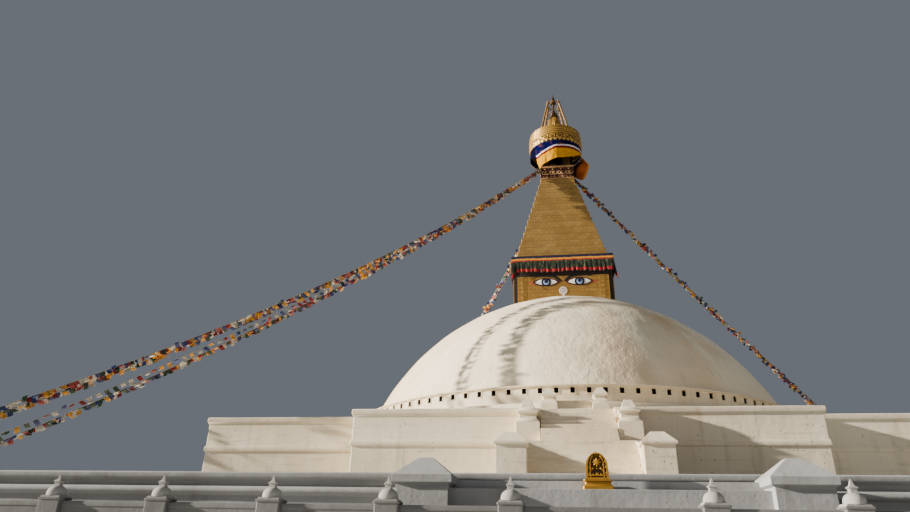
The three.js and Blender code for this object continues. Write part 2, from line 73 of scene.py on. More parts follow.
# Flag ropes
# Ropes of twisted fibre hang from the gallery to the deck of the middle terrace. Small
# square flags in five colours are sewn along each of them and flutter in the wind.
# Each route is its two ends and its sag below the straight line at mid length, in metres.
ROPES = {
    "rope_front_left_1": ((-0.155, -0.155, 3.428), (-3.46, -3.055, 0.3265), 0.22),
    "rope_front_left_2": ((-0.148, -0.1555, 3.422), (-3.455, -3.15, 0.3265), 0.228),
    "rope_front_left_3": ((-0.1555, -0.148, 3.418), (-3.455, -2.705, 0.3265), 0.16),
    "rope_front_left_4": ((-0.142, -0.1555, 3.412), (-3.44, -2.62, 0.3265), 0.163),
    "rope_right_1": ((0.1553, 0.004, 3.406), (3.79, 2.128, 0.3264), 0.06),
    "rope_right_2": ((0.1553, -0.004, 3.4), (3.79, 1.96, 0.3264), 0.09),
    "rope_back_left_1": ((-0.073, 0.1556, 3.376), (-3.406, 2.4, 0.3265), 0.68),
    "rope_back_left_2": ((-0.069, 0.1556, 3.384), (-3.2, 2.8, 0.3265), 0.56),
}
SPARSE_ROPE = "rope_front_left_3"
ROPE_RADIUS, ROPE_POINTS = 1.3, 49
FLAG_WIDTH, FLAG_DROP, FLAG_THICKNESS = 24, 38, 0.8
FLAG_PITCH, SPARSE_PITCH = 15, 46
FLAG_COLOURS = ("142a74", "c9c2b4", "8e1019", "103a20", "d8960a")


def shade(code):
    """Linear colour of a six-figure sRGB code: each channel goes through the sRGB curve."""
    channels = [int(code[i : i + 2], 16) / 255 for i in (0, 2, 4)]
    return (*[c / 12.92 if c < 0.04045 else ((c + 0.055) / 1.055) ** 2.4 for c in channels], 1.0)


class Value:
    """An output of a finish's nodes. Each operator in an expression adds one Math node."""

    def __init__(self, finish, socket):
        self.finish = finish
        self.socket = socket

    def maths(self, operation, first, second=0.0):
        return self.finish.node("ShaderNodeMath", {"operation": operation}, {0: first, 1: second})

    def __add__(self, other):
        return self.maths("ADD", self, other)

    def __sub__(self, other):
        return self.maths("SUBTRACT", self, other)

    def __rsub__(self, other):
        return self.maths("SUBTRACT", other, self)

    def __mul__(self, other):
        return self.maths("MULTIPLY", self, other)

    def __gt__(self, other):
        return self.maths("GREATER_THAN", self, other)

    def __abs__(self):
        return self.maths("ABSOLUTE", self)

    __radd__ = __add__
    __rmul__ = __mul__


class Finish:
    """A procedural finish on Blender's main shader. The values given when it is made stay constant."""

    def __init__(self, name, **constants):
        self.material = bpy.data.materials.new(name)
        self.material.use_nodes = True
        self.shader = self.material.node_tree.nodes["Principled BSDF"]
        for socket, value in constants.items():
            self.shader.inputs[socket.replace("_", " ")].default_value = value

    def node(self, kind, settings, values, output=0):
        """Adds a node: its settings first, with a ramp's stops, and then its sockets' values or links."""
        made = self.material.node_tree.nodes.new(kind)
        for setting, value in settings.items():
            if setting == "stops":
                self.set_stops(made.color_ramp, value)
            else:
                setattr(made, setting, value)
        for key, value in values.items():
            self.feed(made.inputs[key], value)
        return Value(self, made.outputs[output])

    def set_stops(self, ramp, stops):
        """Flat bands: each stop's colour runs from its position to the next stop's."""
        ramp.interpolation = "CONSTANT"
        while len(ramp.elements) < len(stops):
            ramp.elements.new(1.0)
        for element, (position, code) in zip(ramp.elements, stops):
            element.position, element.color = position, shade(code)

    def feed(self, socket, value):
        """Gives a socket a link, a colour by its code, or a constant."""
        if isinstance(value, Value):
            self.material.node_tree.links.new(value.socket, socket)
        else:
            socket.default_value = shade(value) if isinstance(value, str) else value

    def attribute(self, name):
        return self.node("ShaderNodeAttribute", {"attribute_name": name}, {}, "Vector")

    def coordinate(self, kind):
        return self.node("ShaderNodeTexCoord", {}, {}, kind)

    def parts(self, vector):
        """The three numbers of a vector."""
        first = self.node("ShaderNodeSeparateXYZ", {}, {0: vector})
        return [Value(self, output) for output in first.socket.node.outputs]

    def banded(self, value, stops):
        return self.node("ShaderNodeValToRGB", {"stops": stops}, {0: value})

    def place(self, stretch=(1, 1, 1), attribute=None):
        """The point on the piece, or one of its attributes, with each axis stretched."""
        point = self.attribute(attribute) if attribute else self.coordinate("Object")
        return self.node("ShaderNodeMapping", {}, {"Vector": point, "Scale": stretch})

    def noise(self, scale, stretch=(1, 1, 1), attribute=None, detail=4.0):
        values = {"Vector": self.place(stretch, attribute), "Scale": scale, "Detail": detail}
        return self.node("ShaderNodeTexNoise", {}, values)

    def between(self, value, low, high):
        """0 below low, 1 above high and a smooth step between them."""
        values = {"Value": value, "From Min": low, "From Max": high}
        return self.node("ShaderNodeMapRange", {"interpolation_type": "SMOOTHSTEP"}, values)

    def patches(self, low, high, *where, **detail):
        """Noise in soft-edged patches: 0 where it is below low, 1 where it is above high."""
        return self.between(self.noise(*where, **detail), low, high)

    def mixed(self, share, first, second):
        return self.node("ShaderNodeMix", {"data_type": "RGBA"}, {0: share, 6: first, 7: second}, 2)

    def bumped(self, height, depth):
        """Feeds a bump that is depth metres high where height is 1."""
        values = {"Height": height, "Distance": depth, "Strength": 1.0}
        self.feed(self.shader.inputs["Normal"], self.node("ShaderNodeBump", {}, values))

    def coloured(self, colour, roughness=None, metallic=None):
        self.feed(self.shader.inputs["Base Color"], colour)
        if roughness is not None:
            self.feed(self.shader.inputs["Roughness"], roughness)
        if metallic is not None:
            self.feed(self.shader.inputs["Metallic"], metallic)


def closed(points, quads):
    """A shell with the points that coincide merged, its quads split into triangles, those without
    area left out, and all of them turned outwards. Also gives each merged point's first number."""
    keys = np.round(points / 2e-6).astype(np.int64)
    first, index = np.unique(keys, axis=0, return_index=True, return_inverse=True)[1:]
    quads = index.reshape(-1)[quads]
    triangles = np.concatenate([quads[:, [0, 1, 2]], quads[:, [0, 2, 3]]])
    a, b, c = triangles.T
    triangles = triangles[(a != b) & (b != c) & (c != a)]
    points = points[first]
    a, b, c = np.moveaxis(points[triangles], 1, 0)
    if np.einsum("ij,ij->", a, np.cross(b, c)) < 0:
        triangles = triangles[:, ::-1]
    return points, triangles, first


def placed(name, data, replaces=()):
    """A piece in the scene and the solids that it stands for."""
    piece = added(name, data)
    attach(piece, "root")
    if replaces:
        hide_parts(*replaces)
    return piece


def make(name, shells, finish, replaces=(), smooth=35, attributes=None):
    """One finished piece out of closed shells in millimetres, each (points, quads). Each attribute is a
    list with one array for every shell, and the array holds a vector for each of its points."""
    merged = [closed(np.asarray(points, float).reshape(-1, 3) * MM, quads) for points, quads in shells]
    starts = np.cumsum([0] + [len(points) for points, triangles, first in merged])
    points = np.concatenate([m[0] for m in merged])
    triangles = np.concatenate([m[1] + start for m, start in zip(merged, starts)])
    mesh = bpy.data.meshes.new(name)
    mesh.vertices.add(len(points))
    mesh.vertices.foreach_set("co", points.astype(np.float32).ravel())
    mesh.loops.add(triangles.size)
    mesh.loops.foreach_set("vertex_index", triangles.astype(np.int32).ravel())
    mesh.polygons.add(len(triangles))
    mesh.polygons.foreach_set("loop_start", np.arange(0, triangles.size, 3, dtype=np.int32))
    mesh.update(calc_edges=True)
    mesh.polygons.foreach_set("use_smooth", np.ones(len(triangles), bool))
    mesh.set_sharp_from_angle(angle=math.radians(smooth))
    for label, arrays in (attributes or {}).items():
        values = np.concatenate([array.reshape(-1, 3)[m[2]] for array, m in zip(arrays, merged)])
        made = mesh.attributes.new(label, "FLOAT_VECTOR", "POINT")
        made.data.foreach_set("vector", values.astype(np.float32).ravel())
    mesh.materials.append(finish.material)
    return placed(name, mesh, replaces)


def grid_quads(rows, columns, around=False, over=False):
    """Quads between a grid's points. around joins its last column to the first, and over its last row."""
    last_row, last_column = rows if over else rows - 1, columns if around else columns - 1
    row, column = np.meshgrid(np.arange(last_row), np.arange(last_column), indexing="ij")
    below, beside = (row + 1) % rows, (column + 1) % columns
    corners = [(row, column), (row, beside), (below, beside), (below, column)]
    return np.stack([r * columns + c for r, c in corners], -1).reshape(-1, 4)


def cloth(grids, thickness):
    """Thin closed cloths: each grid is moved half a thickness to both sides of itself, and the two skins
    are joined round the rim."""
    count, rows, columns = grids.shape[:3]
    size = rows * columns
    normal = np.cross(np.gradient(grids, axis=2), np.gradient(grids, axis=1))
    normal *= thickness / 2 / np.linalg.norm(normal, axis=-1, keepdims=True)
    points = np.stack([grids + normal, grids - normal], 1)
    face = grid_quads(rows, columns)
    numbers = np.arange(size).reshape(rows, columns)
    rim = np.concatenate([numbers[0], numbers[1:, -1], numbers[-1, -2::-1], numbers[-2:0:-1, 0]])
    after = np.roll(rim, -1)
    edge = np.stack([after, rim, rim + size, after + size], -1)
    quads = np.concatenate([face, face[:, ::-1] + size, edge])
    quads = (quads[None] + 2 * size * np.arange(count)[:, None, None]).reshape(-1, 4)
    return points.reshape(-1, 3), quads


def hanging_line(start, end, sag, count):
    """Points of a rope: a straight line between its ends, lowered by a parabola, sag deep at mid length."""
    along = np.linspace(0, 1, count)[:, None]
    points = np.array(start) + (np.array(end) - np.array(start)) * along
    points[:, 2:] -= 4 * sag * along * (1 - along)
    return points


def flags(points, pitch, chance):
    """Grids of flags along a rope, and each point's dye and fading. A flag's upper edge lies on the rope,
    and it hangs down at a random angle to the plumb line, which grows towards its lower edge."""
    steps = np.linalg.norm(np.diff(points, axis=0), axis=1)
    distance = np.concatenate([[0], np.cumsum(steps)])
    middles = np.arange(pitch, distance[-1] - pitch, pitch)
    count = len(middles)
    across = np.linspace(-0.5, 0.5, 4)[None, None, :] * FLAG_WIDTH
    down = np.linspace(0, 1, 5)[None, :, None]
    where = middles[:, None, None] + across
    edge = np.stack([np.interp(where, distance, axis) for axis in points.T], -1)
    before, behind = ([np.interp(middles + step, distance, axis) for axis in points.T] for step in (5, -5))
    along = np.stack(before, -1) - np.stack(behind, -1)
    along /= np.linalg.norm(along, axis=1, keepdims=True)
    side = np.cross(along, [0, 0, 1.0])
    side /= np.linalg.norm(side, axis=1, keepdims=True)
    plumb = np.cross(along, side)
    lean = chance.uniform(-0.9, 0.9, (count, 1, 1)) + chance.uniform(-1.2, 1.2, (count, 1, 1)) * down**2
    swing = chance.uniform(-0.6, 0.6, (count, 1, 1)) * down
    drop = FLAG_DROP * chance.uniform(0.7, 1.0, (count, 1, 1)) * down
    hang = np.cos(lean)[..., None] * plumb[:, None, None] + np.sin(lean)[..., None] * side[:, None, None]
    grids = edge + drop[..., None] * hang + (drop * swing)[..., None] * along[:, None, None]
    grids[..., 2] -= ROPE_RADIUS
    pick = chance.integers(0, len(FLAG_COLOURS), count)
    look = np.zeros((count, 2, 5, 4, 3))
    look[..., 0] = (pick[:, None, None, None] + 0.5) / len(FLAG_COLOURS)
    look[..., 1] = chance.uniform(0, 1, (count, 1, 1, 1))
    return grids, look


def rope_curve(name, points):
    """A round curve of rope fibre through points in metres."""
    curve = bpy.data.curves.new(name, "CURVE")
    curve.dimensions = "3D"
    curve.bevel_depth = ROPE_RADIUS * MM
    curve.bevel_resolution = 2
    curve.use_fill_caps = True
    spline = curve.splines.new("POLY")
    spline.points.add(len(points) - 1)
    spline.points.foreach_set("co", np.insert(points, 3, 1, axis=1).astype(np.float32).ravel())
    curve.materials.append(rope_fibre.material)
    return curve


rope_fibre = Finish("rope_fibre", Roughness=0.95)
strand = rope_fibre.noise(900, (1, 1, 0.3))
rope_fibre.coloured(rope_fibre.mixed(strand, "5e5546", "a89c84"))
rope_fibre.bumped(strand, 0.0004)

flag_cloth = Finish("flag_cloth", Roughness=0.85)
dye, fade = flag_cloth.parts(flag_cloth.attribute("flag"))[:2]
flag_stops = [(i / len(FLAG_COLOURS), code) for i, code in enumerate(FLAG_COLOURS)]
faded = flag_cloth.mixed(fade * 0.15, flag_cloth.banded(dye, flag_stops), "cfc8ba")
dirt = flag_cloth.patches(0.45, 0.7, 120)
flag_cloth.coloured(flag_cloth.mixed(dirt * 0.55, faded, "2a211c"))
flag_cloth.bumped(flag_cloth.noise(1400, detail=1), 0.0003)

chance = np.random.default_rng(7)
for name, (start, end, sag) in ROPES.items():
    points = hanging_line(start, end, sag, ROPE_POINTS)
    rope = placed(name + "_line", rope_curve(name + "_line", points), [name])
    grids, look = flags(points / MM, SPARSE_PITCH if name == SPARSE_ROPE else FLAG_PITCH, chance)
    row = make(name.replace("rope", "flags"), [cloth(grids, FLAG_THICKNESS)], flag_cloth,
               attributes={"flag": [look]})

# Terraces
# Three steps of solid brick and earth under lime plaster, on one stepped square plan.
# The middle one has a rounded moulding, and the upper one a raised band and a coping.
PLAN_1 = (2669, 3734, 4100)
PLAN_2 = (2384, 3464, 3830)
PLAN_3 = (1134, 2040, 2260)
DECK_1, DECK_2, DECK_3 = 175, 325, 785
BAND, COPING = 601, DECK_3 - 27
EDGE_CUT = 3
PIER_LATERAL, PIER_OUT, PIER_HALF, PIER_EAVE, PIER_APEX = 240, 2306, 42, 742, 807
PIER_FLARE, PIER_NECK, SHOULDER = 16, 725, 28
SLOT_HALF, SLOT_BACK = 178.3, 2200


def painted_niche_shade(finish, body, wall, low, high):
    """The body colour, painted near-black nearer the axis than the wall, up to a fade from low to high:
    painted shade in the niches' hollows, with some lamp soot.
    """
    flat = finish.node("ShaderNodeVectorMath", {"operation": "MULTIPLY"}, {0: finish.place(), 1: (1, 1, 0)})
    reach = finish.node("ShaderNodeVectorMath", {"operation": "LENGTH"}, {0: flat}, "Value")
    level = finish.parts(finish.place())[2]
    inside = (1 - finish.between(reach, wall - 0.006, wall)) * (1 - finish.between(level, low, high))
    return finish.mixed(inside, body, "14110e")


def limewash(name, clean, worn, stain, grime, flaked=1.0, hollow=None):
    """Lime plaster: broad clouds of two tints, stains and grime that run down, rows of small dark pits
    where it has flaked, and uneven trowelling. hollow holds the wall, low and high of the near-black
    painted shade, with some soot, inside niches."""
    finish = Finish(name, Roughness=0.92)
    cloud = finish.noise(1.6, detail=6)
    body = finish.mixed(finish.between(cloud, 0.35, 0.65), clean, worn)
    drips = finish.patches(0.52, 0.75, 9, (1, 1, 0.12), detail=6)
    patches = finish.patches(0.42, 0.62, 0.9, detail=3)
    body = finish.mixed(drips * patches * 0.5, body, stain)
    soot = finish.patches(0.55, 0.8, 22, (1, 1, 0.12), detail=8)
    body = finish.mixed(soot * 0.4, body, grime)
    values = {"Vector": finish.place((1, 1, 1.5)), "Scale": 48.0, "Randomness": 0.9}
    flake = finish.node("ShaderNodeTexVoronoi", {"voronoi_dimensions": "3D"}, values)
    pick = finish.parts(Value(finish, flake.socket.node.outputs["Color"]))[0]
    clump = finish.patches(0.50, 0.60, 4, (1, 1, 11), detail=4)
    pits = (1 - finish.between(flake, 0.12, 0.22)) * finish.between(pick, 0.35, 0.5) * clump * flaked
    body = finish.mixed(pits * 0.75, body, "5c5347")
    courses = finish.patches(0.55, 0.72, 3.5, (1, 1, 14), detail=5)
    body = finish.mixed(courses * 0.25, body, grime)
    # With hollow, the niches' insides are painted near-black as shade.
    finish.coloured(painted_niche_shade(finish, body, *hollow) if hollow else body)
    trowel = finish.noise(9, detail=3) * 0.8 + finish.noise(120, detail=4) * 0.12
    finish.bumped(trowel - pits * 0.4, 0.004)
    return finish


def stepped_plan(plan, out, slot=None):
    """The corners of the stepped square, pushed out by each distance in out: rows by corners by 2. slot, a
    half width and a distance from the axis, cuts a stair's way into the middle of each side."""
    a, b, c = (p + np.asarray(out, float) for p in plan)
    quarter = [(c, a), (b, a), (b, b), (a, b), (a, c)]
    if slot:
        half, back = (np.full_like(c, value) for value in slot)
        quarter += [(half, c), (half, back), (-half, back), (-half, c)]
    quarter = np.stack([np.stack(p, -1) for p in quarter], 1)
    turns = (((1, 0), (0, 1)), ((0, 1), (-1, 0)), ((-1, 0), (0, -1)), ((0, -1), (1, 0)))
    return np.concatenate([quarter @ np.array(turn) for turn in turns], 1)


def softened(corners, cut, spacing):
    """Each corner is cut back a little, and each edge gets points at even spacing: rows by points by 2."""
    after = np.roll(corners, -1, axis=1)
    columns = []
    for k in range(corners.shape[1]):
        p, q = corners[:, k], after[:, k]
        length = np.linalg.norm(q - p, axis=1, keepdims=True)
        count = max(1, round(float(length[0, 0]) / spacing))
        for t in np.linspace(0, 1, count + 1):
            columns.append(p + (q - p) * (cut + (length - 2 * cut) * t) / length)
    return np.stack(columns, 1)


def rough(points, size):
    """Hand-made unevenness: three crossed waves in space, size deep."""
    x, y, z = np.moveaxis(points, -1, 0) / 100
    waves = np.sin(1.9 * x + 0.7 * y + z) + np.sin(2.3 * y - 1.1 * x + 1.7 * z) + np.sin(0.61 * x + 0.83 * y)
    return size / 3 * waves


def carried_up(plan, profile, slot, spacing, unevenness):
    """The plan at every level of a profile of [out, height], as rows of points with wavy faces."""
    out, height = np.array(profile, float).T
    ring = softened(stepped_plan(plan, out, slot), EDGE_CUT, spacing)
    ring = np.dstack([ring, np.broadcast_to(height[:, None], ring.shape[:2])])
    ring[..., :2] += rough(ring, unevenness)[..., None] * np.sign(ring[..., :2])
    return ring


def terrace(plan, profile, slot=None):
    """The plan carried up a profile. Flat rows close the foot and the deck at the axis; the first of them
    is clipped to a square inside any slot."""
    ring = carried_up(plan, profile, slot, 130, 0.84)
    shrink = np.array([1, 0.9, 0.75, 0.5, 0])[:, None, None]
    flat = np.clip(ring[[0, -1], :, :2], 75 - plan[2], plan[2] - 75)
    level = np.ones((5, ring.shape[1], 1))
    lid = np.concatenate([flat[1:] * shrink, level * profile[-1][1]], -1)
    foot = np.concatenate([flat[:1] * shrink[::-1], level * profile[0][1]], -1)
    rows = np.concatenate([foot, ring, lid])
    return rows, grid_quads(*rows.shape[:2], around=True)


def rounded(centre_out, centre_height, radius, start, end):
    """Points of an arc in a profile, from one angle to another in degrees, 0 pointing out and 90 up."""
    angle = np.radians(np.linspace(start, end, 9))
    return [(centre_out + radius * math.cos(a), centre_height + radius * math.sin(a)) for a in angle]


def block(levels, x=0.0, y=0.0, cut=2.5):
    """An upright rectangular body through levels [half x, half y, height], its four arrises cut back."""
    half_x, half_y, height = np.array(levels, float).T
    signs = ((-1, -1), (1, -1), (1, 1), (-1, 1))
    corners = np.stack([np.stack([i * half_x + x, j * half_y + y], -1) for i, j in signs], 1)
    short = np.linalg.norm(np.roll(corners, -1, axis=1) - corners, axis=-1).min(axis=1)
    trim = np.minimum(cut, 0.3 * short)[:, None]
    ring = []
    for k in range(4):
        p, q = corners[:, k], corners[:, (k + 1) % 4]
        step = (q - p) / np.maximum(np.linalg.norm(q - p, axis=1, keepdims=True), 1e-6)
        ring += [p + step * trim, q - step * trim]
    rows = np.dstack([np.stack(ring, 1), np.broadcast_to(height[:, None], (len(height), 8))])
    ends = rows[[0, -1]].copy()
    ends[..., 0], ends[..., 1] = x, y
    rows = np.concatenate([ends[:1], rows, ends[1:]])
    return rows, grid_quads(*rows.shape[:2], around=True)


def capped_pier(half, foot, eave, apex, x, y):
    """A plastered pier: a shaft that narrows in an S-shaped shoulder, an eave of two fillets, and a hipped
    cap that rises in a slight hollow curve."""
    rise, ridge = apex - eave - 14, 0.45
    cap = [(1 - t, eave + 15 + rise * (t * (1.15 - 0.15 * t))) for t in np.linspace(0.12, 1, 5)]
    shoulder = [(PIER_FLARE * (0.5 + 0.5 * math.cos(math.pi * t)), PIER_NECK - SHOULDER * (1 - t))
                for t in np.linspace(0, 1, 9)]
    shaft = [(PIER_FLARE, foot), *shoulder, (0, eave - 3), (4, eave), (9, eave + 5), (9, eave + 12),
             (7, eave + 14)]
    levels = [[half + out, half + out, z] for out, z in shaft]
    levels += [[half * (ridge + (1 - ridge) * s), half * (ridge + (1 - ridge) * s), z] for s, z in cap]
    return block(levels, x, y)


def four_turns(shells):
    """The shells, and their copies turned by one, two and three quarter turns about the axis."""
    turned_shells = []
    for points, quads in shells:
        x, y, z = np.moveaxis(np.asarray(points, float).reshape(-1, 3), -1, 0)
        for turn in ((x, y, z), (-y, x, z), (-x, -y, z), (y, -x, z)):
            turned_shells.append((np.stack(turn, -1), quads))
    return turned_shells


PALE_TINTS = ("f6e9cd", "e6d6ba", "cfac78", "8f8470")

# Painted shade: the lower terraces and their stairs get lime painted grey. It stands in for shadow cast over
# them, while the upper terrace keeps the pale lime.
shaded_grey_lime = limewash("grey_limewash", "acacab", "989896", "8a867e", "64635f", flaked=0.15)
pale_lime = limewash("pale_limewash", *PALE_TINTS)

lower = [(0, 0), (0, 28), (-3, 34), (-8, 38), (-8, DECK_1 - 26), (-5, DECK_1 - 23), (0, DECK_1 - 18),
         (0, DECK_1 - 3), (-3, DECK_1)]
make("lower_terrace_wash", [terrace(PLAN_1, lower)], shaded_grey_lime, ["lower_terrace"])

middle = [(20, DECK_1), (20, 206), (17, 210), (6, 228), (0, 233), (0, 266), *rounded(2, 279, 11, -90, 90),
          (0, 292), (0, 303), (5, 306), (16, 309), (18, 312), (18, DECK_2 - 3), (15, DECK_2)]
make("middle_terrace_wash", [terrace(PLAN_2, middle)], shaded_grey_lime, ["middle_terrace"])

upper = [(12, DECK_2), (12, 352), (9, 357), (0, 363), (0, BAND - 2), (2, BAND), (7, BAND + 2), (8, BAND + 4),
         (8, BAND + 21), (6, BAND + 25), (0, BAND + 36), (0, COPING - 10), (2, COPING - 8), (7, COPING - 1),
         (9, COPING + 4), (9, DECK_3 - 3), (6, DECK_3)]
piers = [capped_pier(PIER_HALF, DECK_2, PIER_EAVE, PIER_APEX, side * PIER_LATERAL, -PIER_OUT)
         for side in (-1, 1)]
make("upper_terrace_wash", [terrace(PLAN_3, upper, (SLOT_HALF, SLOT_BACK)), *four_turns(piers)], pale_lime,
     ["upper_terrace"])

# Parapet
# A low plastered wall round the lowest deck, with a post every 0.27 m. A small votive
# stupa stands on each post: two steps, a bell, a square neck and a pointed cap.
WALL_HALF, WALL_TOP, WALL_INSET = 15, 235, 30
POST_HALF, POST_TOP, POST_PITCH, FIRST_POST, FRONT_POSTS, SIDE_BAYS = 27, 242, 270, 209, 10, 4
VOTIVE_HEIGHT = 53
SIDES = ("front", "right", "back", "left")


def full_turn(count):
    """Angles at even steps all the way round."""
    return np.linspace(0, 2 * np.pi, count, endpoint=False)


def revolved(reach, angle, level, over=False):
    """A shell about the axis: rows of distances from it and of heights, at each angle."""
    level = np.broadcast_to(level, reach.shape)
    rows = np.stack([reach * np.cos(angle), reach * np.sin(angle), level], -1)
    return rows, grid_quads(*rows.shape[:2], around=True, over=over)


def turned(profile, columns, flutes=0, depth=0.0):
    """A closed round body: a profile of [radius, height] about the axis. With flutes, its radius swells and
    shrinks round the axis by depth of itself."""
    radius, height = np.pad(np.array(profile, float), ((1, 1), (0, 0)), mode="edge").T
    radius[[0, -1]] = 0
    angle = full_turn(columns)
    swell = 1 - depth * np.abs(np.sin(angle * flutes / 2))
    return revolved(np.outer(radius, swell), angle, height[:, None])


def copies(shell, places):
    """The same shell set down at each of the places."""
    points = np.asarray(shell[0], float).reshape(-1, 3)
    return [(points + place, shell[1]) for place in places]


def post_places(a, b, c):
    """Where one side's posts stand: along its long front wall, at three outer corners and between them."""
    front = [(s * (FIRST_POST + i * POST_PITCH), -c) for i in range(FRONT_POSTS) for s in (-1, 1)]
    corners = [(a, -b), (-a, -b), (b, -b)]
    bays = [(s * (a + (b - a) * i / SIDE_BAYS), -b) for i in range(1, SIDE_BAYS) for s in (-1, 1)]
    return [(x, y - (POST_HALF - WALL_HALF) / 2, 0) for x, y in front + corners + bays]


def parapet_wall(plan):
    """The wall's section, with a small lip under its top on both sides, carried round the plan."""
    half, lip = WALL_HALF, WALL_HALF + 1.5
    inside = [(-half, DECK_1), (-half, 222), (-lip, 224), (-lip, 232), (-half, WALL_TOP)]
    outside = [(-out, height) for out, height in reversed(inside)]
    ring = carried_up(plan, inside + outside, None, 135, 0.8)
    return ring, grid_quads(*ring.shape[:2], around=True, over=True)


last_post = FIRST_POST + (FRONT_POSTS - 1) * POST_PITCH
wall_plan = (last_post, PLAN_1[1] - WALL_INSET, PLAN_1[2] - WALL_INSET)
depth = (POST_HALF + WALL_HALF) / 2
post = block([[POST_HALF + 2, depth + 2, DECK_1], [POST_HALF + 2, depth + 2, 186], [POST_HALF, depth, 188],
              [POST_HALF, depth, POST_TOP - 6], [POST_HALF + 2, depth + 2, POST_TOP - 4],
              [POST_HALF + 2, depth + 2, POST_TOP]])
steps = block([[25, 20, -1], [25, 20, 3], [23, 19, 3], [23, 19, 5]], cut=1)
bell = turned([(21, 4), (22, 8), (21, 15), (17.5, 21), (12, 25), (7, 27)], 18)
neck = block([[7, 7, 25], [7, 7, 34], [9, 9, 35], [9, 9, 37.5], [5, 5, 40], [3, 3, 46], [3.2, 3.2, 47],
              [0.8, 0.8, VOTIVE_HEIGHT]], cut=0.6)
places = np.array(post_places(*wall_plan))
# Painted shade: the parapet's lime is painted a dark grey that stands in for shadow over it.
shaded_parapet_lime = limewash("parapet_limewash", "767674", "666664", "605d56", "45443f", flaked=0.15)
make("parapet_wash", [parapet_wall(wall_plan), *four_turns(copies(post, places))], shaded_parapet_lime,
     [f"parapet_{side}" for side in SIDES])
# Painted shade: the votive stupas' lime is painted darker as shade over them, partly as dust.
shaded_votive_lime = limewash("votive_limewash", "adaca8", "9a9893", "8c877c", "66635c")
on_posts = places + [0, 0, POST_TOP]
votives = [shell for part in (steps, bell, neck) for shell in copies(part, on_posts)]
make("votive_stupas", four_turns(votives), shaded_votive_lime)

# Stairs
# Each flight is one mass of plastered masonry. Its arrises are worn round, so the CAD
# solids get a bevel, after their loose triangles are joined.
WEAR, WEAR_FROM, JOIN_WITHIN = 2.2, 30, 0.05


def dress(node, finish):
    """Gives a solid of the CAD part its finish."""
    node.data.materials.clear()
    node.data.materials.append(finish.material)


for name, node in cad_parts.items():
    if "stair" not in name:
        continue
    weld = node.modifiers.new("weld", "WELD")
    weld.merge_threshold = JOIN_WITHIN * MM
    bevel = node.modifiers.new("worn_arrises", "BEVEL")
    bevel.width = WEAR * MM
    bevel.segments = 2
    bevel.limit_method = "ANGLE"
    bevel.angle_limit = math.radians(WEAR_FROM)
    # Lower flights take the lime painted grey as shade, upper ones the pale lime.
    dress(node, shaded_grey_lime if name.startswith("lower") else pale_lime)

# Gilt stele
# A cast and gilt plate with a round head stands in a stepped foot on the front stair.
# Its rim is raised, and rows of leaves and a wheel of petals stand out from its face.
STELE_X, STELE_Y, STELE_FOOT = -15, -3917, 281
STELE_HEIGHT, WHEEL_HEIGHT, ARCH_FROM = 63, 40, 0.54
STELE_GROUND, STELE_RELIEF = 5, 5.5


def sheet_seams(finish, width, height):
    """Sheets of metal laid like bricks on upright faces: each sheet's own tone, and the seams."""
    x, y, z = finish.parts(finish.coordinate("Object"))
    facing = abs(finish.parts(finish.coordinate("Normal"))[1]) > 0.5
    along = x * facing + y * (1 - facing)
    spot = finish.node("ShaderNodeCombineXYZ", {}, {0: along, 1: z})
    values = {"Vector": spot, "Scale": 1.0, "Brick Width": width, "Row Height": height, "Bias": 0.0,
              "Mortar Size": 0.0016, "Mortar Smooth": 0.3, "Color1": (0, 0, 0, 1), "Color2": (1, 1, 1, 1)}
    tone = finish.node("ShaderNodeTexBrick", {}, values)
    return tone, Value(finish, tone.socket.node.outputs["Fac"])


def gilding(name, bright, dull, tarnish, roughness, metallic, sheet=None, embossed=False):
    """Gilt copper: clouds of a bright and a dull gold and dark tarnish that runs down. With sheet, a width
    and a height in metres, it is laid in sheets with open seams. Embossed work keeps its gold where the
    attribute "raised" is 1 and has gone dark where it is 0."""
    finish = Finish(name)
    cloud = finish.noise(7, detail=5)
    run = finish.patches(0.5, 0.8, 30, (1, 1, 0.2), detail=6)
    gold = finish.mixed(cloud, dull, bright)
    height = finish.noise(60, detail=3) * 0.3
    if sheet:
        tone, seam = sheet_seams(finish, *sheet)
        gold = finish.mixed(tone * 0.65, gold, dull)
        gold = finish.mixed(seam * 0.75, gold, tarnish)
        height = height - seam * 0.25
    if embossed:
        raised = finish.parts(finish.attribute("raised"))[0]
        gold = finish.mixed((1 - raised) * 0.88, gold, tarnish)
    uneven = run * 0.25 + cloud * 0.15 + (roughness - 0.1)
    finish.coloured(finish.mixed(run * 0.55, gold, tarnish), uneven, metallic - run * 0.35)
    finish.bumped(height, 0.0016)
    return finish


def relief(u, v, depth, back):
    """A plate with a modelled face: a grid over u and v whose third coordinate is depth. The rim drops to a
    flat back, which closes at its middle. Rows by columns by (u, depth, v)."""
    face = np.stack([u, depth, v], -1)
    behind = np.pad(face, ((1, 1), (1, 1), (0, 0)), mode="edge")
    edge = np.ones(behind.shape[:2], bool)
    edge[1:-1, 1:-1] = False
    behind[edge, 1] = back
    rows = np.pad(behind, ((1, 1), (1, 1), (0, 0)), mode="edge")
    edge = np.ones(rows.shape[:2], bool)
    edge[1:-1, 1:-1] = False
    rows[edge] = [u.mean(), back, v.mean()]
    return rows, grid_quads(*rows.shape[:2])


def level_of(height):
    """The attribute "raised" of an embossed shell: its x is the height of the work from 0 to 1."""
    return np.stack([np.clip(height, 0, 1)] * 3, -1)


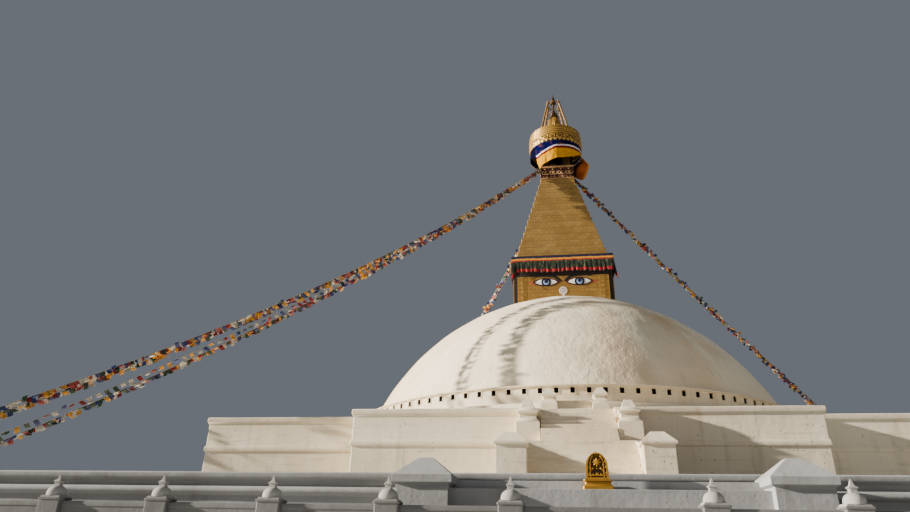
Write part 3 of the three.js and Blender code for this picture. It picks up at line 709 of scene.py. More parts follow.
def stele_plate():
    """A grid over the height t and the width s. The half width shrinks over the round head, and the work
    stands out where the rim, a wheel of eight petals, rows of leaves or a border are."""
    t, s = np.meshgrid(np.linspace(0, 1, 81), np.linspace(-1, 1, 57), indexing="ij")
    arch = np.clip((t - ARCH_FROM) / (1 - ARCH_FROM), 0, 1)
    half = (27 - 1.5 * np.clip(t / ARCH_FROM, 0, 1)) * np.clip(1 - arch**1.9, 0.0004, 1) ** 0.62
    u, v = s * half, STELE_HEIGHT * t
    rim = (np.abs(s) > 0.80) | (t > 0.93)
    border = np.abs(np.abs(s) - 0.62) < 0.05
    far, turn = np.hypot(u, v - WHEEL_HEIGHT), np.arctan2(v - WHEEL_HEIGHT, u)
    petals = np.clip(1.25 - (far / (10 + 3 * np.cos(8 * turn))) ** 2, 0, 1)
    leaves = np.clip(1.5 * np.sin(v / 2.1 + np.cos(u / 2.6) * 1.6) * np.cos(u / 3.3), 0, 1)
    pedestal = (v < 6) | ((v > 9) & (v < 12))
    inner = np.where(far < 14, petals, np.maximum(leaves * 0.85, border * 0.9))
    work = np.where(rim | pedestal, 0.95, inner)
    points, quads = relief(u, v, STELE_GROUND + STELE_RELIEF * work, -8)
    raised = level_of((points[..., 1] - STELE_GROUND) / STELE_RELIEF)
    return (points * [1, -1, 1] + [STELE_X, STELE_Y, STELE_FOOT + 22], quads), raised


stele_gold = gilding("stele_gold", "dda62e", "9c6c1c", "1c1206", roughness=0.5, metallic=0.4, embossed=True)
plate, raised = stele_plate()
foot = block([[35, 24, STELE_FOOT], [35, 24, STELE_FOOT + 7], [32, 21, STELE_FOOT + 9],
              [30, 18, STELE_FOOT + 12], [30, 18, STELE_FOOT + 17], [33, 21, STELE_FOOT + 19],
              [33, 21, STELE_FOOT + 22.5]], STELE_X, STELE_Y)
make("gilt_stele_cast", [plate, foot], stele_gold, ["gilt_stele"],
     attributes={"raised": [raised, 0 * foot[0] + 0.7]})

# Drum
# A ring wall of plastered brick on a sloping skirt, with 108 small niches. Each niche
# has a thin raised surround, a sill and a hood of plaster.
DRUM_TOP, DRUM_BORE, NICHES, NICHE_WALL = 1036, 1430, 108, 1650
NICHE_HALF, NICHE_LOW, NICHE_HIGH, NICHE_DEPTH = 13.5, 986, 1020, 32
SURROUND, SILL, HOOD = 2.5, 3.5, 9.0


def drum():
    """One closed ring: a profile of [radius, height] at every angle. Inside a niche the wall steps back, and
    on its surround it steps forward, at pairs of rows and columns that lie on each other."""
    foot = [(DRUM_BORE, DECK_3), (1800, DECK_3), (1799, 800), (1795, 830), (1790, 866), (1783, 902),
            (1779, 907), (1720, 915.5), (1672, 924), (1660, 928), (1653, 934), (1651, 939), (1651, 970)]
    edges = (NICHE_LOW - 5, NICHE_LOW, NICHE_HIGH, NICHE_HIGH + 5)
    head = [(NICHE_WALL + 2, 1025.5), (1664, 1027), (1668, 1029), (1668, 1034), (1665, DRUM_TOP),
            (DRUM_BORE, DRUM_TOP)]
    profile = foot + [(1651, z) for z in edges for side in range(2)] + head
    radius, height = np.array(profile, float).T
    half = NICHE_HALF / NICHE_WALL
    frame_half = half + 4 / NICHE_WALL
    bay = 2 * np.pi / NICHES
    offsets = [-bay / 2, -bay / 3, -frame_half, -frame_half, -half, -half, half, half, frame_half,
               frame_half, bay / 3]
    across = np.array([0, 0, 0, 1, 1, 2, 2, 1, 1, 0, 0])
    up = np.zeros(len(profile), int)
    up[14:20] = [1, 1, 2, 2, 1, 1]
    step = np.array([0, SURROUND, -NICHE_DEPTH])[np.minimum.outer(up, across)]
    step[14:16, 3:9] = SILL
    step[18:20, 2:10] = HOOD
    angle = (np.arange(NICHES)[:, None] * bay + np.array(offsets)).ravel()
    return revolved(radius[:, None] + np.tile(step, NICHES), angle, height[:, None], over=True)


# The niches' insides are painted near-black: painted shade, with some lamp soot.
drum_lime = limewash("drum_limewash", *PALE_TINTS, hollow=(NICHE_WALL * MM, 1.0245, 1.0255))
make("drum_ring", [drum()], drum_lime, [f"drum_segment_{i:02d}" for i in range(1, 13)])

# Dome
# A solid dome of brick and earth under many coats of lime. It stands a little to the
# right of the tower's axis. Saffron water and rain have left streaks down it.
DOME_RADIUS, DOME_RISE, DOME_CENTRE, DOME_SHIFT = 1775, 1865, 219, 15
DOME_FOOT, HARMIKA_BASE = 1400, 1974
STAINS = (((0.218, -0.976, 0), 0.990, 0.9995), ((0.48, -0.877, 0), 0.985, 0.999),
          ((-0.87, -0.5, 0), 0.93, 1.0))


def dome():
    """A profile about the axis with the unevenness of hand-laid plaster, and for its streaks an attribute
    that holds the direction from the axis and the distance run down the profile."""
    heights = DRUM_TOP + (HARMIKA_BASE - DRUM_TOP) * (1 - (1 - np.linspace(0, 1, 90)) ** 1.6)
    radii = DOME_RADIUS * np.sqrt(1 - ((heights - DOME_CENTRE) / DOME_RISE) ** 2)
    foot = [(0, DECK_3), (DOME_FOOT, DECK_3), (DOME_FOOT, DRUM_TOP)]
    radius, height = np.array([*foot, *zip(radii, heights), (0, HARMIKA_BASE)], float).T
    angle = full_turn(256)
    even = np.ones((len(radius), 256))
    points, quads = revolved(radius[:, None] * even, angle, height[:, None])
    points = points * (1 + (rough(points, 2.4) / 1700)[..., None])
    run = np.concatenate([[0], np.cumsum(np.hypot(np.diff(radius), np.diff(height)))]) * MM
    streak = revolved(even, angle, run[:, None])[0]
    return (points + [DOME_SHIFT, 0, 0], quads), streak


def dome_plaster():
    """Bright lime with saffron streaks, a wide stain in each of the directions of STAINS, grey rain marks,
    flecks, and stucco that is coarser in some patches than in others."""
    finish = Finish("dome_limewash", Roughness=0.9)
    body = finish.mixed(finish.patches(0.35, 0.68, 1.1, detail=5), "fff2d6", "f5e3c3")
    saffron = finish.patches(0.46, 0.74, 5, (1, 1, 0.2), "streak", 5)
    zone = finish.patches(0.44, 0.62, 1.7, (1, 1, 0.9), "streak", 2)
    body = finish.mixed(saffron * zone * 0.75, body, "d9ae6c")
    ragged = (finish.noise(6, (1, 1, 0.3), "streak", 4) - 0.5) * 0.012
    for direction, low, high in STAINS:
        values = {0: finish.attribute("streak"), 1: direction}
        turn = finish.node("ShaderNodeVectorMath", {"operation": "DOT_PRODUCT"}, values, "Value")
        body = finish.mixed(finish.between(turn + ragged, low, high) * 0.24, body, "d0a25c")
    rain = finish.patches(0.52, 0.8, 26, (1, 1, 0.07), "streak", 8)
    body = finish.mixed(rain * 0.35, body, "b5ab9c")
    flecks = finish.patches(0.6, 0.74, 60, (1, 1, 0.16), "streak", 4)
    finish.coloured(finish.mixed(flecks * 0.28, body, "9c9283"))
    stucco = finish.noise(38, (1, 1, 0.6), "streak", 3) * 0.55 + finish.noise(95, detail=3) * 0.25
    swell = finish.noise(4, (1, 1, 0.7), "streak", 3) * 1.5
    finish.bumped(stucco * finish.patches(0.35, 0.6, 1.3, detail=2) + swell, 0.009)
    return finish


shell, streak = dome()
make("dome_plaster", [shell], dome_plaster(), ["dome"], attributes={"streak": [streak]})

# Harmika
# A square box of brick behind gilt copper. Each face has a panel of small sheets
# between two embossed pilasters. The corners and the part under the valance are painted
# near-black gold as shade: the recessed corners and the shadow under the valance.
HARMIKA_HALF, HARMIKA_TOP, PANEL_HALF, PANEL_OUT = 408, 2375, 376, 418
SHADE_FOOT, PILASTER, LOZENGE = 2222, 84, 44


def panel(low, high, rows):
    """A part of the front face's panel between two heights: its depth and how bright its gold is are
    functions of the distance from the panel's side and of the height above the box's foot."""
    v, u = np.meshgrid(np.linspace(low, high, rows), np.linspace(-PANEL_HALF, PANEL_HALF, 160), indexing="ij")
    inset = PANEL_HALF - np.abs(u)
    height = v - HARMIKA_BASE
    pilaster = np.clip((PILASTER - inset) / 12, 0, 1)
    strip = pilaster * ((inset < 10) | (inset > 74))
    lozenge = np.abs((height % LOZENGE) / (LOZENGE / 2) - 1) + np.abs(inset - PILASTER / 2) / 26
    ornament = np.clip(1.1 - lozenge, 0, 0.5) * 2 * (inset < 74) * (inset > 10)
    work = np.maximum(1.3 * pilaster + 1.5 * ornament, 1.5 * (height < 16))
    points, quads = relief(u, v, PANEL_OUT - 2.8 + work, HARMIKA_HALF - 2)
    bright = np.where(pilaster > 0, 0.72 + 0.28 * np.maximum(strip, ornament), 0.9)
    return (points * [1, -1, 1], quads), np.pad(level_of(bright), ((2, 2), (2, 2), (0, 0)), mode="edge")


panel_gold = gilding("panel_gold", "d0a552", "a87a38", "5a4018", roughness=0.42, metallic=0.55,
                     sheet=(0.062, 0.0335), embossed=True)
dark_gold = gilding("dark_gold", "6d4d22", "3f2a12", "181005", roughness=0.5, metallic=0.6)
# Painted shade: near-black gold for the box's recessed corners and the band under the valance.
shaded_head_gold = gilding("shaded_head_gold", "2a1c0d", "150d07", "0a0604", roughness=0.7, metallic=0.1)
core = block([[HARMIKA_HALF, HARMIKA_HALF, HARMIKA_BASE], [HARMIKA_HALF, HARMIKA_HALF, HARMIKA_TOP]])
make("harmika_core", [core], shaded_head_gold)
plate, bright = panel(HARMIKA_BASE, SHADE_FOOT, 60)
make("harmika_panels", four_turns([plate]), panel_gold, ["harmika"],
     attributes={"raised": [bright] * 4})
plate = panel(SHADE_FOOT, HARMIKA_TOP - 20, 8)[0]
make("harmika_heads", four_turns([plate]), shaded_head_gold)

# Painted eyes
# A pair of eyes, brows that meet over the nose and a curl for the nose stand in low
# painted relief on each of the four faces, as is usual on stupas of this kind.
EYE_LATERAL, EYE_HEIGHT, EYE_HALF, EYE_OPEN = 137, 2168, 92, 29
IRIS_RADIUS, CURL_HEIGHT, FACE = 41, 2091, PANEL_OUT - 3.1
BROW = np.array([(14, 7), (26, 18), (42, 32), (62, 45), (90, 54), (130, 58), (180, 58), (235, 50)], float)


def enamel(name, colour, wear, roughness=0.45, **constants):
    """Old paint on metal: one colour with patches where it has dulled, and fine cracks."""
    finish = Finish(name, **constants)
    dull = finish.patches(0.5, 0.75, 45, detail=5)
    finish.coloured(finish.mixed(dull * 0.5, colour, wear), dull * 0.2 + roughness)
    finish.bumped(finish.noise(220, detail=4), 0.0006)
    return finish


def lens(upper, lower, width, front, thickness, bulge):
    """A low body between an upper and a lower edge line over the width. Its face swells by bulge in its
    middle, and its ends close where the two lines meet."""
    share = np.linspace(0, 1, 13)[:, None]
    across = np.broadcast_to(width, (13, len(width)))
    swell = 1 - (2 * share - 1) ** 2
    ends = np.sqrt(1 - np.linspace(-1, 1, len(width)) ** 6)
    return relief(across, lower + (upper - lower) * share, front + thickness + bulge * swell * ends, front)


def almond(grow):
    """Upper edge, lower edge and width of an eye that is larger than its white by grow: the upper lid is a
    full arch, the lower one a flatter curve."""
    s = np.linspace(-1, 1, 41)
    arch = np.clip(1 - np.abs(s) ** 2.2, 0, 1)
    return (EYE_OPEN + grow) * arch**0.85, -(EYE_OPEN * 0.82 + grow) * arch**0.8, s * (EYE_HALF + grow * 2.2)


def disc(radius, opening, front, thickness, x=0.0, z=0.0):
    """A round spot, cut above and below where the lids cover it."""
    angle = np.linspace(-1, 1, 33) * np.pi / 2
    half = radius * np.cos(angle)
    upper, lower = np.minimum(half, opening), -np.minimum(half, opening * 1.1)
    points, quads = lens(upper, lower, radius * np.sin(angle), front, thickness, 1.0)
    return points + [x, 0, z], quads


def ribbon(x, z, width, front, thickness):
    """A stroke of paint along a path in the plane of the face, with its own width at each point."""
    path = np.stack([x, z], -1)
    along = np.gradient(path, axis=0)
    along /= np.linalg.norm(along, axis=1, keepdims=True)
    side = np.stack([-along[:, 1], along[:, 0]], -1)
    share = np.linspace(-1, 1, 5)[:, None, None]
    spot = path[None] + share * side[None] * width[None, :, None] / 2
    depth = front + thickness * (1 - 0.5 * share[..., 0] ** 2) + 0 * spot[..., 0]
    return relief(spot[..., 0], spot[..., 1], depth, front)


def on_faces(shells, lateral, height, side=1):
    """Sets shells of (u, depth, v) down on the four faces, to the right of the nose or, with side -1,
    mirrored to its left."""
    move = [side * lateral, 0, height]
    return four_turns([(points * [side, -1, 1] + move, quads) for points, quads in shells])


def pair(shells, lateral=EYE_LATERAL):
    """The shells on both sides of the nose on all faces."""
    return on_faces(shells, lateral, EYE_HEIGHT) + on_faces(shells, lateral, EYE_HEIGHT, -1)


def eye_corners():
    """A long tail outside the eye and a short duct at the nose: strokes that taper to a point."""
    s = np.linspace(0, 1, 9)
    tail = ribbon(EYE_HALF + 62 * s, -4 + 9 * s**2, 30 * (1 - s) ** 0.8 + 1, FACE, 2.0)
    return [tail, ribbon(-EYE_HALF - 26 * s, 2 - 12 * s, 18 * (1 - s) + 1, FACE, 2.0)]


def brow():
    """The line through the points of BROW, thick over the nose and thin at its outer end."""
    x, z = (np.interp(np.linspace(0, 7, 50), range(8), axis) for axis in BROW.T)
    return ribbon(x, z, 8 + 15 * np.sin(np.pi * np.linspace(0.22, 1, 50)) ** 0.6, FACE, 3)


def nose_disc():
    """A round plate with a short stem."""
    s = np.linspace(0, 1, 12)
    return [disc(34, 34, FACE, 2.2), ribbon(2 + 0 * s, -28 - 42 * s, 20 + 4 * s, FACE, 2.2)]


def nose_curl():
    """A spiral whose radius grows as it turns."""
    s = np.linspace(0, 1, 61)
    turn, radius = np.pi * (0.2 + 3.2 * s), 4 + 22 * s
    return ribbon(radius * np.cos(turn), radius * np.sin(turn), 3 + 3.5 * np.sin(np.pi * s), FACE + 2, 1.6)


PAINTED = (
    ("eye_lids", pair([lens(*almond(10), FACE, 2.4, 0.6)]), "lid_brown", "4a1d12", "2e150e"),
    ("eye_corners", pair(eye_corners()), "lid_red", "b0502a", "7a3a20"),
    ("eye_whites", pair([lens(*almond(0), FACE, 3.6, 2.0)]), "eye_white", "fbfaf8", "d8d5d0"),
    ("iris_rims", pair([disc(IRIS_RADIUS, EYE_OPEN, FACE, 6.4)]), "rim_black", "0d0c0b", "2b2723"),
    ("irises", pair([disc(24, 22, FACE, 7.6)]), "iris_blue", "93aee0", "7089b8"),
    ("pupils", pair([disc(17, 17, FACE, 8.8, z=7)]), "pupil_blue", "0f1738", "20284a"),
    ("brows", pair([brow()], 0), "brow_black", "120e0b", "2d251c"),
    ("nose_discs", on_faces(nose_disc(), 0, CURL_HEIGHT), "curl_pale", "e2d8ce", "c6b9ac"),
    ("nose_curls", on_faces([nose_curl()], 0, CURL_HEIGHT), "curl_mauve", "86646a", "6f5358"),
)
for name, shells, paint, colour, wear in PAINTED:
    make(name, shells, enamel(paint, colour, wear))

# Cornice and valance
# A gilt cornice closes the box. A pleated cloth hangs from its edge on each side: navy,
# yellow and orange bands, a deep green skirt and a red hem, all sewn from cotton.
CORNICE_HALF, SPIRE_BASE = 420, 2415
VALANCE_TOP, VALANCE_BOTTOM, VALANCE_FLAT = 2406, 2250, (1.1, 0.158)
VALANCE_BANDS = ((0, "0d120c"), (0.05, "b00e16"), (0.215, "5a0d10"), (0.235, "14260f"), (0.70, "ad3019"),
                 (0.775, "e09a14"), (0.865, "10123a"))


def valance():
    """A skirt in front of the front face: a grid along the side and down the cloth. Pleats are a sharpened
    wave whose depth grows from the bands to the hem. The hem is wavy and droops at one end."""
    down, along = np.meshgrid(np.linspace(0, 1, 26), np.linspace(-1, 1, 400), indexing="ij")
    phase = along * 62 + 1.3 * np.sin(along * 9) + 0.8 * np.sin(along * 23 + 1)
    loose = np.clip((down - 0.24) / 0.76, 0, 1)
    fold = (np.sin(phase) + 0.35 * np.sin(2 * phase + 1.2)) * (0.35 + 0.65 * np.abs(np.sin(along * 17)))
    hem = np.clip((down - 0.76) / 0.24, 0, 1)
    out = CORNICE_HALF + 2.5 + 4 * down + (5.5 * loose + 2.5 * hem) * (fold * 0.5 + 0.5)
    x = along * (CORNICE_HALF + 1 + 4 * down) + 2.2 * loose * np.cos(phase)
    ripple = 4 * np.sin(along * 7) + 3 * np.sin(along * 31)
    tail = np.clip((-along - 0.88) / 0.08, 0, 1)
    out += 22 * tail * down**2
    z = VALANCE_TOP - (VALANCE_TOP - VALANCE_BOTTOM - 3) * down + ripple * down - 75 * tail * down**2
    # Painted shade: this value darkens the cloth in the pleats' hollows and on the drooping end.
    dark = loose * (0.5 - 0.40 * fold) + 0.45 * tail * down
    return np.stack([x, -out, z], -1), np.stack([along, 1 - down, dark], -1)


def valance_cotton():
    """Sewn bands of flat colour up the cloth, pale threads down the skirt, dark lines down the skirt that
    are painted shade between the pleats, painted shadow in the folds, which the attribute holds, and wear."""
    finish = Finish("valance_cloth", Roughness=0.88)
    place, fold = finish.parts(finish.attribute("weave"))[1:]
    up = place + (finish.noise(30, detail=3) - 0.5) * 0.09
    body = finish.banded(up, VALANCE_BANDS)
    skirt = finish.between(up, 0.22, 0.26) * (1 - finish.between(up, 0.68, 0.71))
    threads = finish.patches(0.55, 0.60, 28, (1, 0.08, 0), "weave", 4)
    body = finish.mixed(threads * skirt * 0.40, body, "8f936e")
    lines = finish.patches(0.50, 0.56, 36, (1, 0.05, 0), "weave", 3)
    under = 1 - finish.between(up, 0.70, 0.72)
    # Painted shade: near-black lines down the skirt between the pleats.
    body = finish.mixed(lines * under * 0.8, body, "07090a")
    # Painted shadow in the folds.
    body = finish.mixed(finish.between(fold, 0.45, 0.85) * 0.85, body, "0a0d08")
    worn = finish.patches(0.5, 0.7, 35, (1, 1, 0.3), detail=4)
    finish.coloured(finish.mixed(worn * skirt * 0.35, body, "15140f"))
    finish.bumped(finish.noise(700, detail=2), 0.0005)
    return finish


dress(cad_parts["cornice"], dark_gold)
cotton = valance_cotton()
grid, weave = valance()
for side, shell in zip(SIDES, four_turns([cloth(grid[None], 2.4)])):
    skirt = make(f"valance_cloth_{side}", [shell], cotton, [f"valance_{side}"],
                 smooth=60, attributes={"weave": [np.stack([weave, weave])]})

# Spire
# Thirteen square steps of brick and timber under gilt copper sheets. Each step leans
# in a little and ends in a rolled lip over the next one's foot.
SPIRE_TOP, SPIRE_STEPS, SPIRE_FOOT_HALF, SPIRE_HEAD_HALF = 3305, 13, 378, 162
STEP_PROFILE = ((0, 0), (0.5, 5), (3.5, 33), (4.5, 35), (4, 37), (8, 64), (8.5, 68.4))

spire_gold = gilding("spire_gold", "c39c55", "8f6d33", "503c17", roughness=0.5, metallic=0.4,
                     sheet=(0.046, 0.0345))
rise = (SPIRE_TOP - SPIRE_BASE) / SPIRE_STEPS
levels = []
for i in range(SPIRE_STEPS):
    half = SPIRE_FOOT_HALF + (SPIRE_HEAD_HALF - SPIRE_FOOT_HALF) * i / (SPIRE_STEPS - 1)
    levels += [[half - inset, half - inset, SPIRE_BASE + i * rise + up] for inset, up in STEP_PROFILE]
levels.append([SPIRE_HEAD_HALF - 4, SPIRE_HEAD_HALF - 4, SPIRE_TOP])
make("spire_sheets", [block(levels, cut=1.5)], spire_gold, ["spire"])

# Gallery
# A carved box on the spire's head: a rail on short posts, gilt scrollwork before dark red
# screens, a thick round mast, and thin uprights at the corners and in mid side.
GALLERY_HALF, GALLERY_RAIL, GALLERY_CORE, GALLERY_HEAD = 146, 3440, 62, 3900
CARVED_FACE = GALLERY_HALF + 2

carved_gold = gilding("carved_gold", "ecc088", "9c6c42", "341509", roughness=0.5, metallic=0.3)
red_paint = enamel("old_red_paint", "3f1710", "1d0b07", roughness=0.75)
# Painted shade: the mast and the uprights are near-black and almost without gloss. This stands in for the
# shade inside the gallery under the umbrella.
shade_black_wood = enamel("wood_painted_black_as_shade", "0d0806", "060403", roughness=0.95, Specular_IOR_Level=0.05)


def scroll(x, z, size, hand):
    """A leaf scroll: a spiral that opens out as it turns, in the plane of the face."""
    s = np.linspace(0, 1, 24)
    angle = hand * (s * 1.5 * np.pi) + np.pi / 2
    radius = size * (0.25 + 0.75 * s)
    x, z = x + hand * radius * np.cos(angle), z + radius * np.sin(angle)
    return ribbon(x, z, size * (0.24 + 0.34 * (1 - s)), CARVED_FACE, 5)


posts, uprights, carving = [], [], []
for i in range(-2, 2):
    x = i * GALLERY_HALF / 2
    posts.append(block([[7, 8, SPIRE_TOP + 12], [7, 8, 3340], [5, 6, 3344], [5, 6, 3410], [7, 8, 3414],
                        [7, 8, 3430]], x, -GALLERY_HALF, cut=1))
    if i % 2 == 0:
        uprights.append(block([[7, 7, 3440], [7, 7, 3470], [4.5, 4.5, 3476], [4.5, 4.5, 3600], [7, 7, 3606],
                               [7, 7, 3700]], x, -GALLERY_HALF, cut=1))
    middle = x + GALLERY_HALF / 4
    for hand in (1, -1):
        carving.append(scroll(middle + hand * 13, 3380, 27, hand))
        carving.append(scroll(middle + hand * 17, 3336, 13, hand))
    carving.append(disc(7, 7, CARVED_FACE, 6, middle, 3412))
carving = [(points * [1, -1, 1], quads) for points, quads in carving]
rail = block([[GALLERY_HALF + 10, 10, GALLERY_RAIL - 12], [GALLERY_HALF + 10, 10, GALLERY_RAIL - 7],
              [GALLERY_HALF + 6, 6, GALLERY_RAIL - 4], [GALLERY_HALF + 6, 6, GALLERY_RAIL + 1],
              [GALLERY_HALF + 9, 9, GALLERY_RAIL + 5]], 0, -GALLERY_HALF + 0.5, cut=1)
plinth = block([[154, 154, SPIRE_TOP], [157, 157, SPIRE_TOP + 3], [157, 157, SPIRE_TOP + 9],
                [152, 152, SPIRE_TOP + 14]], cut=1.5)
make("gallery_carving", [plinth, *four_turns(carving + [rail])], carved_gold, ["gallery"])
screen = block([[GALLERY_HALF + 1, 3, SPIRE_TOP + 10], [GALLERY_HALF + 1, 3, GALLERY_RAIL - 2]], 0,
               -GALLERY_HALF + 1)
make("gallery_screens", four_turns([screen, *posts]), red_paint)
mast = turned([(GALLERY_CORE, SPIRE_TOP + 5), (GALLERY_CORE, 3500), (GALLERY_CORE + 4, 3505),
               (GALLERY_CORE + 4, 3520), (GALLERY_CORE, 3525), (GALLERY_CORE, GALLERY_HEAD)], 32)
make("gallery_core", [mast, *four_turns(uprights)], shade_black_wood)

# Umbrella
# A bell of beaten and gilt copper, open below. From its rim up: hanging leaves, a band of
# embossed scrolls, rolled rings and a crown that closes under the mound.
UMBRELLA_RIM, UMBRELLA_TOP = 3675, 3955
TEETH, SCROLLS = 38, 24
BELL_LINE = ((251, 3675), (255, 3720), (252, 3790), (243, 3850), (236, 3858), (200, 3880), (163, 3905),
             (120, 3930), (75, 3950), (63, 3955))
BELL_INSIDE = ((63, 3954.5), (0, 3954.5), (0, 3905), (112, 3901), (201, 3840), (239, 3690), (245, 3676))
RINGS = ((2.5, 3762, 3), (2, 3787, 2.5), (3.5, 3811, 4), (2.5, 3828, 3), (3.5, 3846, 4), (2, 3880, 4))
GROOVES = (3752, 3774, 3798, 3820, 3838, 3858)


def beaten_bell():
    """A ring of profile points at every angle. Outside, pointed leaves, a band of scrolls and rolled rings
    are added to the radius as functions of the height and the angle; inside, the wall is plain."""
    radius, height = np.array(BELL_LINE, float).T
    z = np.concatenate([np.linspace(3675, 3698, 14), np.linspace(3700, 3744, 24), np.linspace(3747, 3849, 40),
                        np.linspace(3851, 3954.5, 28)])[:, None]
    angle = full_turn(14 * TEETH)
    turn = angle[None, :] / (2 * np.pi)
    tooth = np.abs((turn * TEETH) % 1 * 2 - 1)
    leaf = np.clip(((z - 3671) / 26 - tooth) * 5, 0, 1) * (z < 3699)
    cell = (turn * SCROLLS) % 2
    hand = np.where(cell < 1, 1, -1)
    across, up = cell % 1 * 2 - 1, (z - 3721) / 21
    far = np.hypot(across, up)
    curl = np.clip(0.3 + 0.9 * np.cos(6.5 * far - hand * np.arctan2(up, across)), 0, 1) * (far < 1.0)
    border = (np.abs(z - 3699.5) < 1.6) | (np.abs(z - 3744) < 2)
    plain = (z > 3745) * 0.9
    work = np.maximum(np.maximum(leaf, curl * (z > 3701) * (z < 3742)), np.maximum(border, plain))
    rings = sum(size * np.exp(-(((z - at) / width) ** 2)) for size, at, width in RINGS)
    grooves = sum(np.exp(-(((z - at) / 4.0) ** 2)) for at in GROOVES)
    reach = np.interp(z, height, radius) - 3.5 + 3.2 * work * (z < 3746) + 3 * (z >= 3746) + rings
    inner = np.array(BELL_INSIDE)
    shape = len(inner), len(angle)
    reach = np.concatenate([reach, np.broadcast_to(inner[:, :1], shape)])
    raised = level_of(np.concatenate([work - 0.95 * grooves, np.full(shape, 0.1)]))
    return revolved(reach, angle, np.concatenate([z, inner[:, 1:]]), over=True), raised


umbrella_gold = gilding("umbrella_gold", "e8b955", "ac7c2e", "201204", roughness=0.42, metallic=0.5,
                        embossed=True)
shell, raised = beaten_bell()
make("umbrella_bell", [shell], umbrella_gold, ["umbrella"], smooth=50,
     attributes={"raised": [raised]})

# Cloth round the umbrella
# A long cloth tied under the rim: navy, white and dark red bands on yellow satin. It
# hangs lowest at the front left, and one loose end blows out on the right.
CLOTH_RADIUS, CLOTH_WIDTH, CLOTH_THICKNESS, CLOTH_TOP = 251, 285, 2.4, UMBRELLA_RIM - 0.5
CLOTH_EDGE = ((-180, 3600), (-70, 3590), (-60, 3560), (-50, 3530), (-40, 3399), (-30, 3436), (-20, 3452),
              (0, 3479), (20, 3489), (40, 3516), (70, 3588), (180, 3600))
CLOTH_DROOP = ((-180, 0), (-90, -20), (-44, -66), (0, 0), (73, 18), (180, 10))
CLOTH_NAVY_EDGE = ((3399, -40), (3507, -47), (3560, -50))
CLOTH_BANDS = ((0, "090b3c"), (0.2205, "e0d6dc"), (0.300, "6c0c10"), (0.405, "d49400"))
FLAP_TURN, FLAP_FLAT, FLAP_SHARE = math.radians(100), (0.12, 0.26), 0.6
FLAP_NEAR = ((0, 252.5, 3645), (1, 252, 3590), (1.1, 215, 3584), (2.0, 180, 3544), (3, 160, 3500),
             (4, 160, 3405))
FLAP_FAR = ((0, 257, 3648), (1, 322, 3550), (2, 304, 3480), (3, 285, 3430), (4, 252, 3388))


def satin():
    """Bands of flat colour down the cloth, dirt, and plain dark navy over part of the left side, beyond a
    ragged edge; crumpled.
    """
    finish = Finish("umbrella_satin", Roughness=0.95, Specular_IOR_Level=0.0)
    edge, drop = finish.parts(finish.attribute("weave"))[:2]
    body = finish.banded(drop + (finish.noise(14, detail=2) - 0.5) * 0.03, CLOTH_BANDS)
    dirt = finish.patches(0.52, 0.72, 18, detail=5)
    body = finish.mixed(dirt * 0.3, body, "8a5a10")
    left_navy = 1 - finish.between(edge + (finish.noise(22, detail=3) - 0.5) * 0.06, 0.49, 0.51)
    finish.coloured(finish.mixed(left_navy, body, "0c0b22"))
    finish.bumped(finish.noise(30, (1, 1, 0.5), detail=4) + finish.noise(600, detail=1) * 0.04, 0.012)
    return finish


def wrapped_cloth():
    """Two skins about the axis, from the rim down to the edge line, with folds that are three waves of the
    angle; its attribute, the place across the edge of the dark navy part and down the bands, which droop to
    the left; its area."""
    degrees = np.linspace(-180, 180, 400, endpoint=False)
    bottom = np.interp(degrees, *zip(*CLOTH_EDGE))
    angle = np.radians(degrees - 90)
    share = np.linspace(0, 1, 24)[:, None]
    z = CLOTH_TOP - (CLOTH_TOP - bottom) * share
    fold = np.sin(angle * 11 + share) + 0.6 * np.sin(angle * 23 + 1.1 - 2 * share)
    fold = fold + 0.4 * np.sin(angle * 41 + share * 3)
    outer = CLOTH_RADIUS - 3.5 + fold * 3.4 * share * (1 - 0.3 * share)
    reach = np.concatenate([outer, (outer - CLOTH_THICKNESS)[::-1]])
    shell = revolved(reach, angle, np.concatenate([z, z[::-1]]), over=True)
    navy_edge = np.interp(z, *zip(*CLOTH_NAVY_EDGE))
    edge = np.clip(np.where(degrees > -100, 0.5 + (degrees - navy_edge) / 60, 1.0), 0, 1)
    drop = (CLOTH_TOP - z + np.interp(degrees, *zip(*CLOTH_DROOP))) / 220
    weave = np.stack([edge, drop, 0 * z], -1)
    area = float(np.mean(CLOTH_TOP - bottom)) * 2 * math.pi * CLOTH_RADIUS * MM * MM
    return shell, np.concatenate([weave, weave[::-1]]), area


def flap_cotton():
    """Old orange cotton in two tints, painted near-black as shade where it hangs inside the umbrella, and
    painted lighter as sunlight at its outer edge.
    """
    finish = Finish("flap_cloth", Roughness=0.8, Specular_IOR_Level=0.15)
    across = finish.parts(finish.attribute("weave"))[0]
    cloud = finish.patches(0.35, 0.65, 9, detail=4)
    body = finish.mixed(cloud, "a8560f", "7a380c")
    # Painted light: a lighter orange at the outer edge, where the sun falls.
    body = finish.mixed(finish.between(across, 0.80, 0.93) * 0.7, body, "e08c28")
    # Painted shade: near-black on the inner part, under the umbrella.
    finish.coloured(finish.mixed(1 - finish.between(across, 0.15, 0.42), body, "170b06"))
    finish.bumped(finish.noise(40, detail=3), 0.002)
    return finish


def edge_line(points, count):
    """Distances from the axis and heights at even steps along an edge of [row, distance, height]."""
    row, distance, height = np.array(points, float).T
    steps = np.linspace(0, 4, count)
    return np.interp(steps, row, distance)[:, None], np.interp(steps, row, height)[:, None]


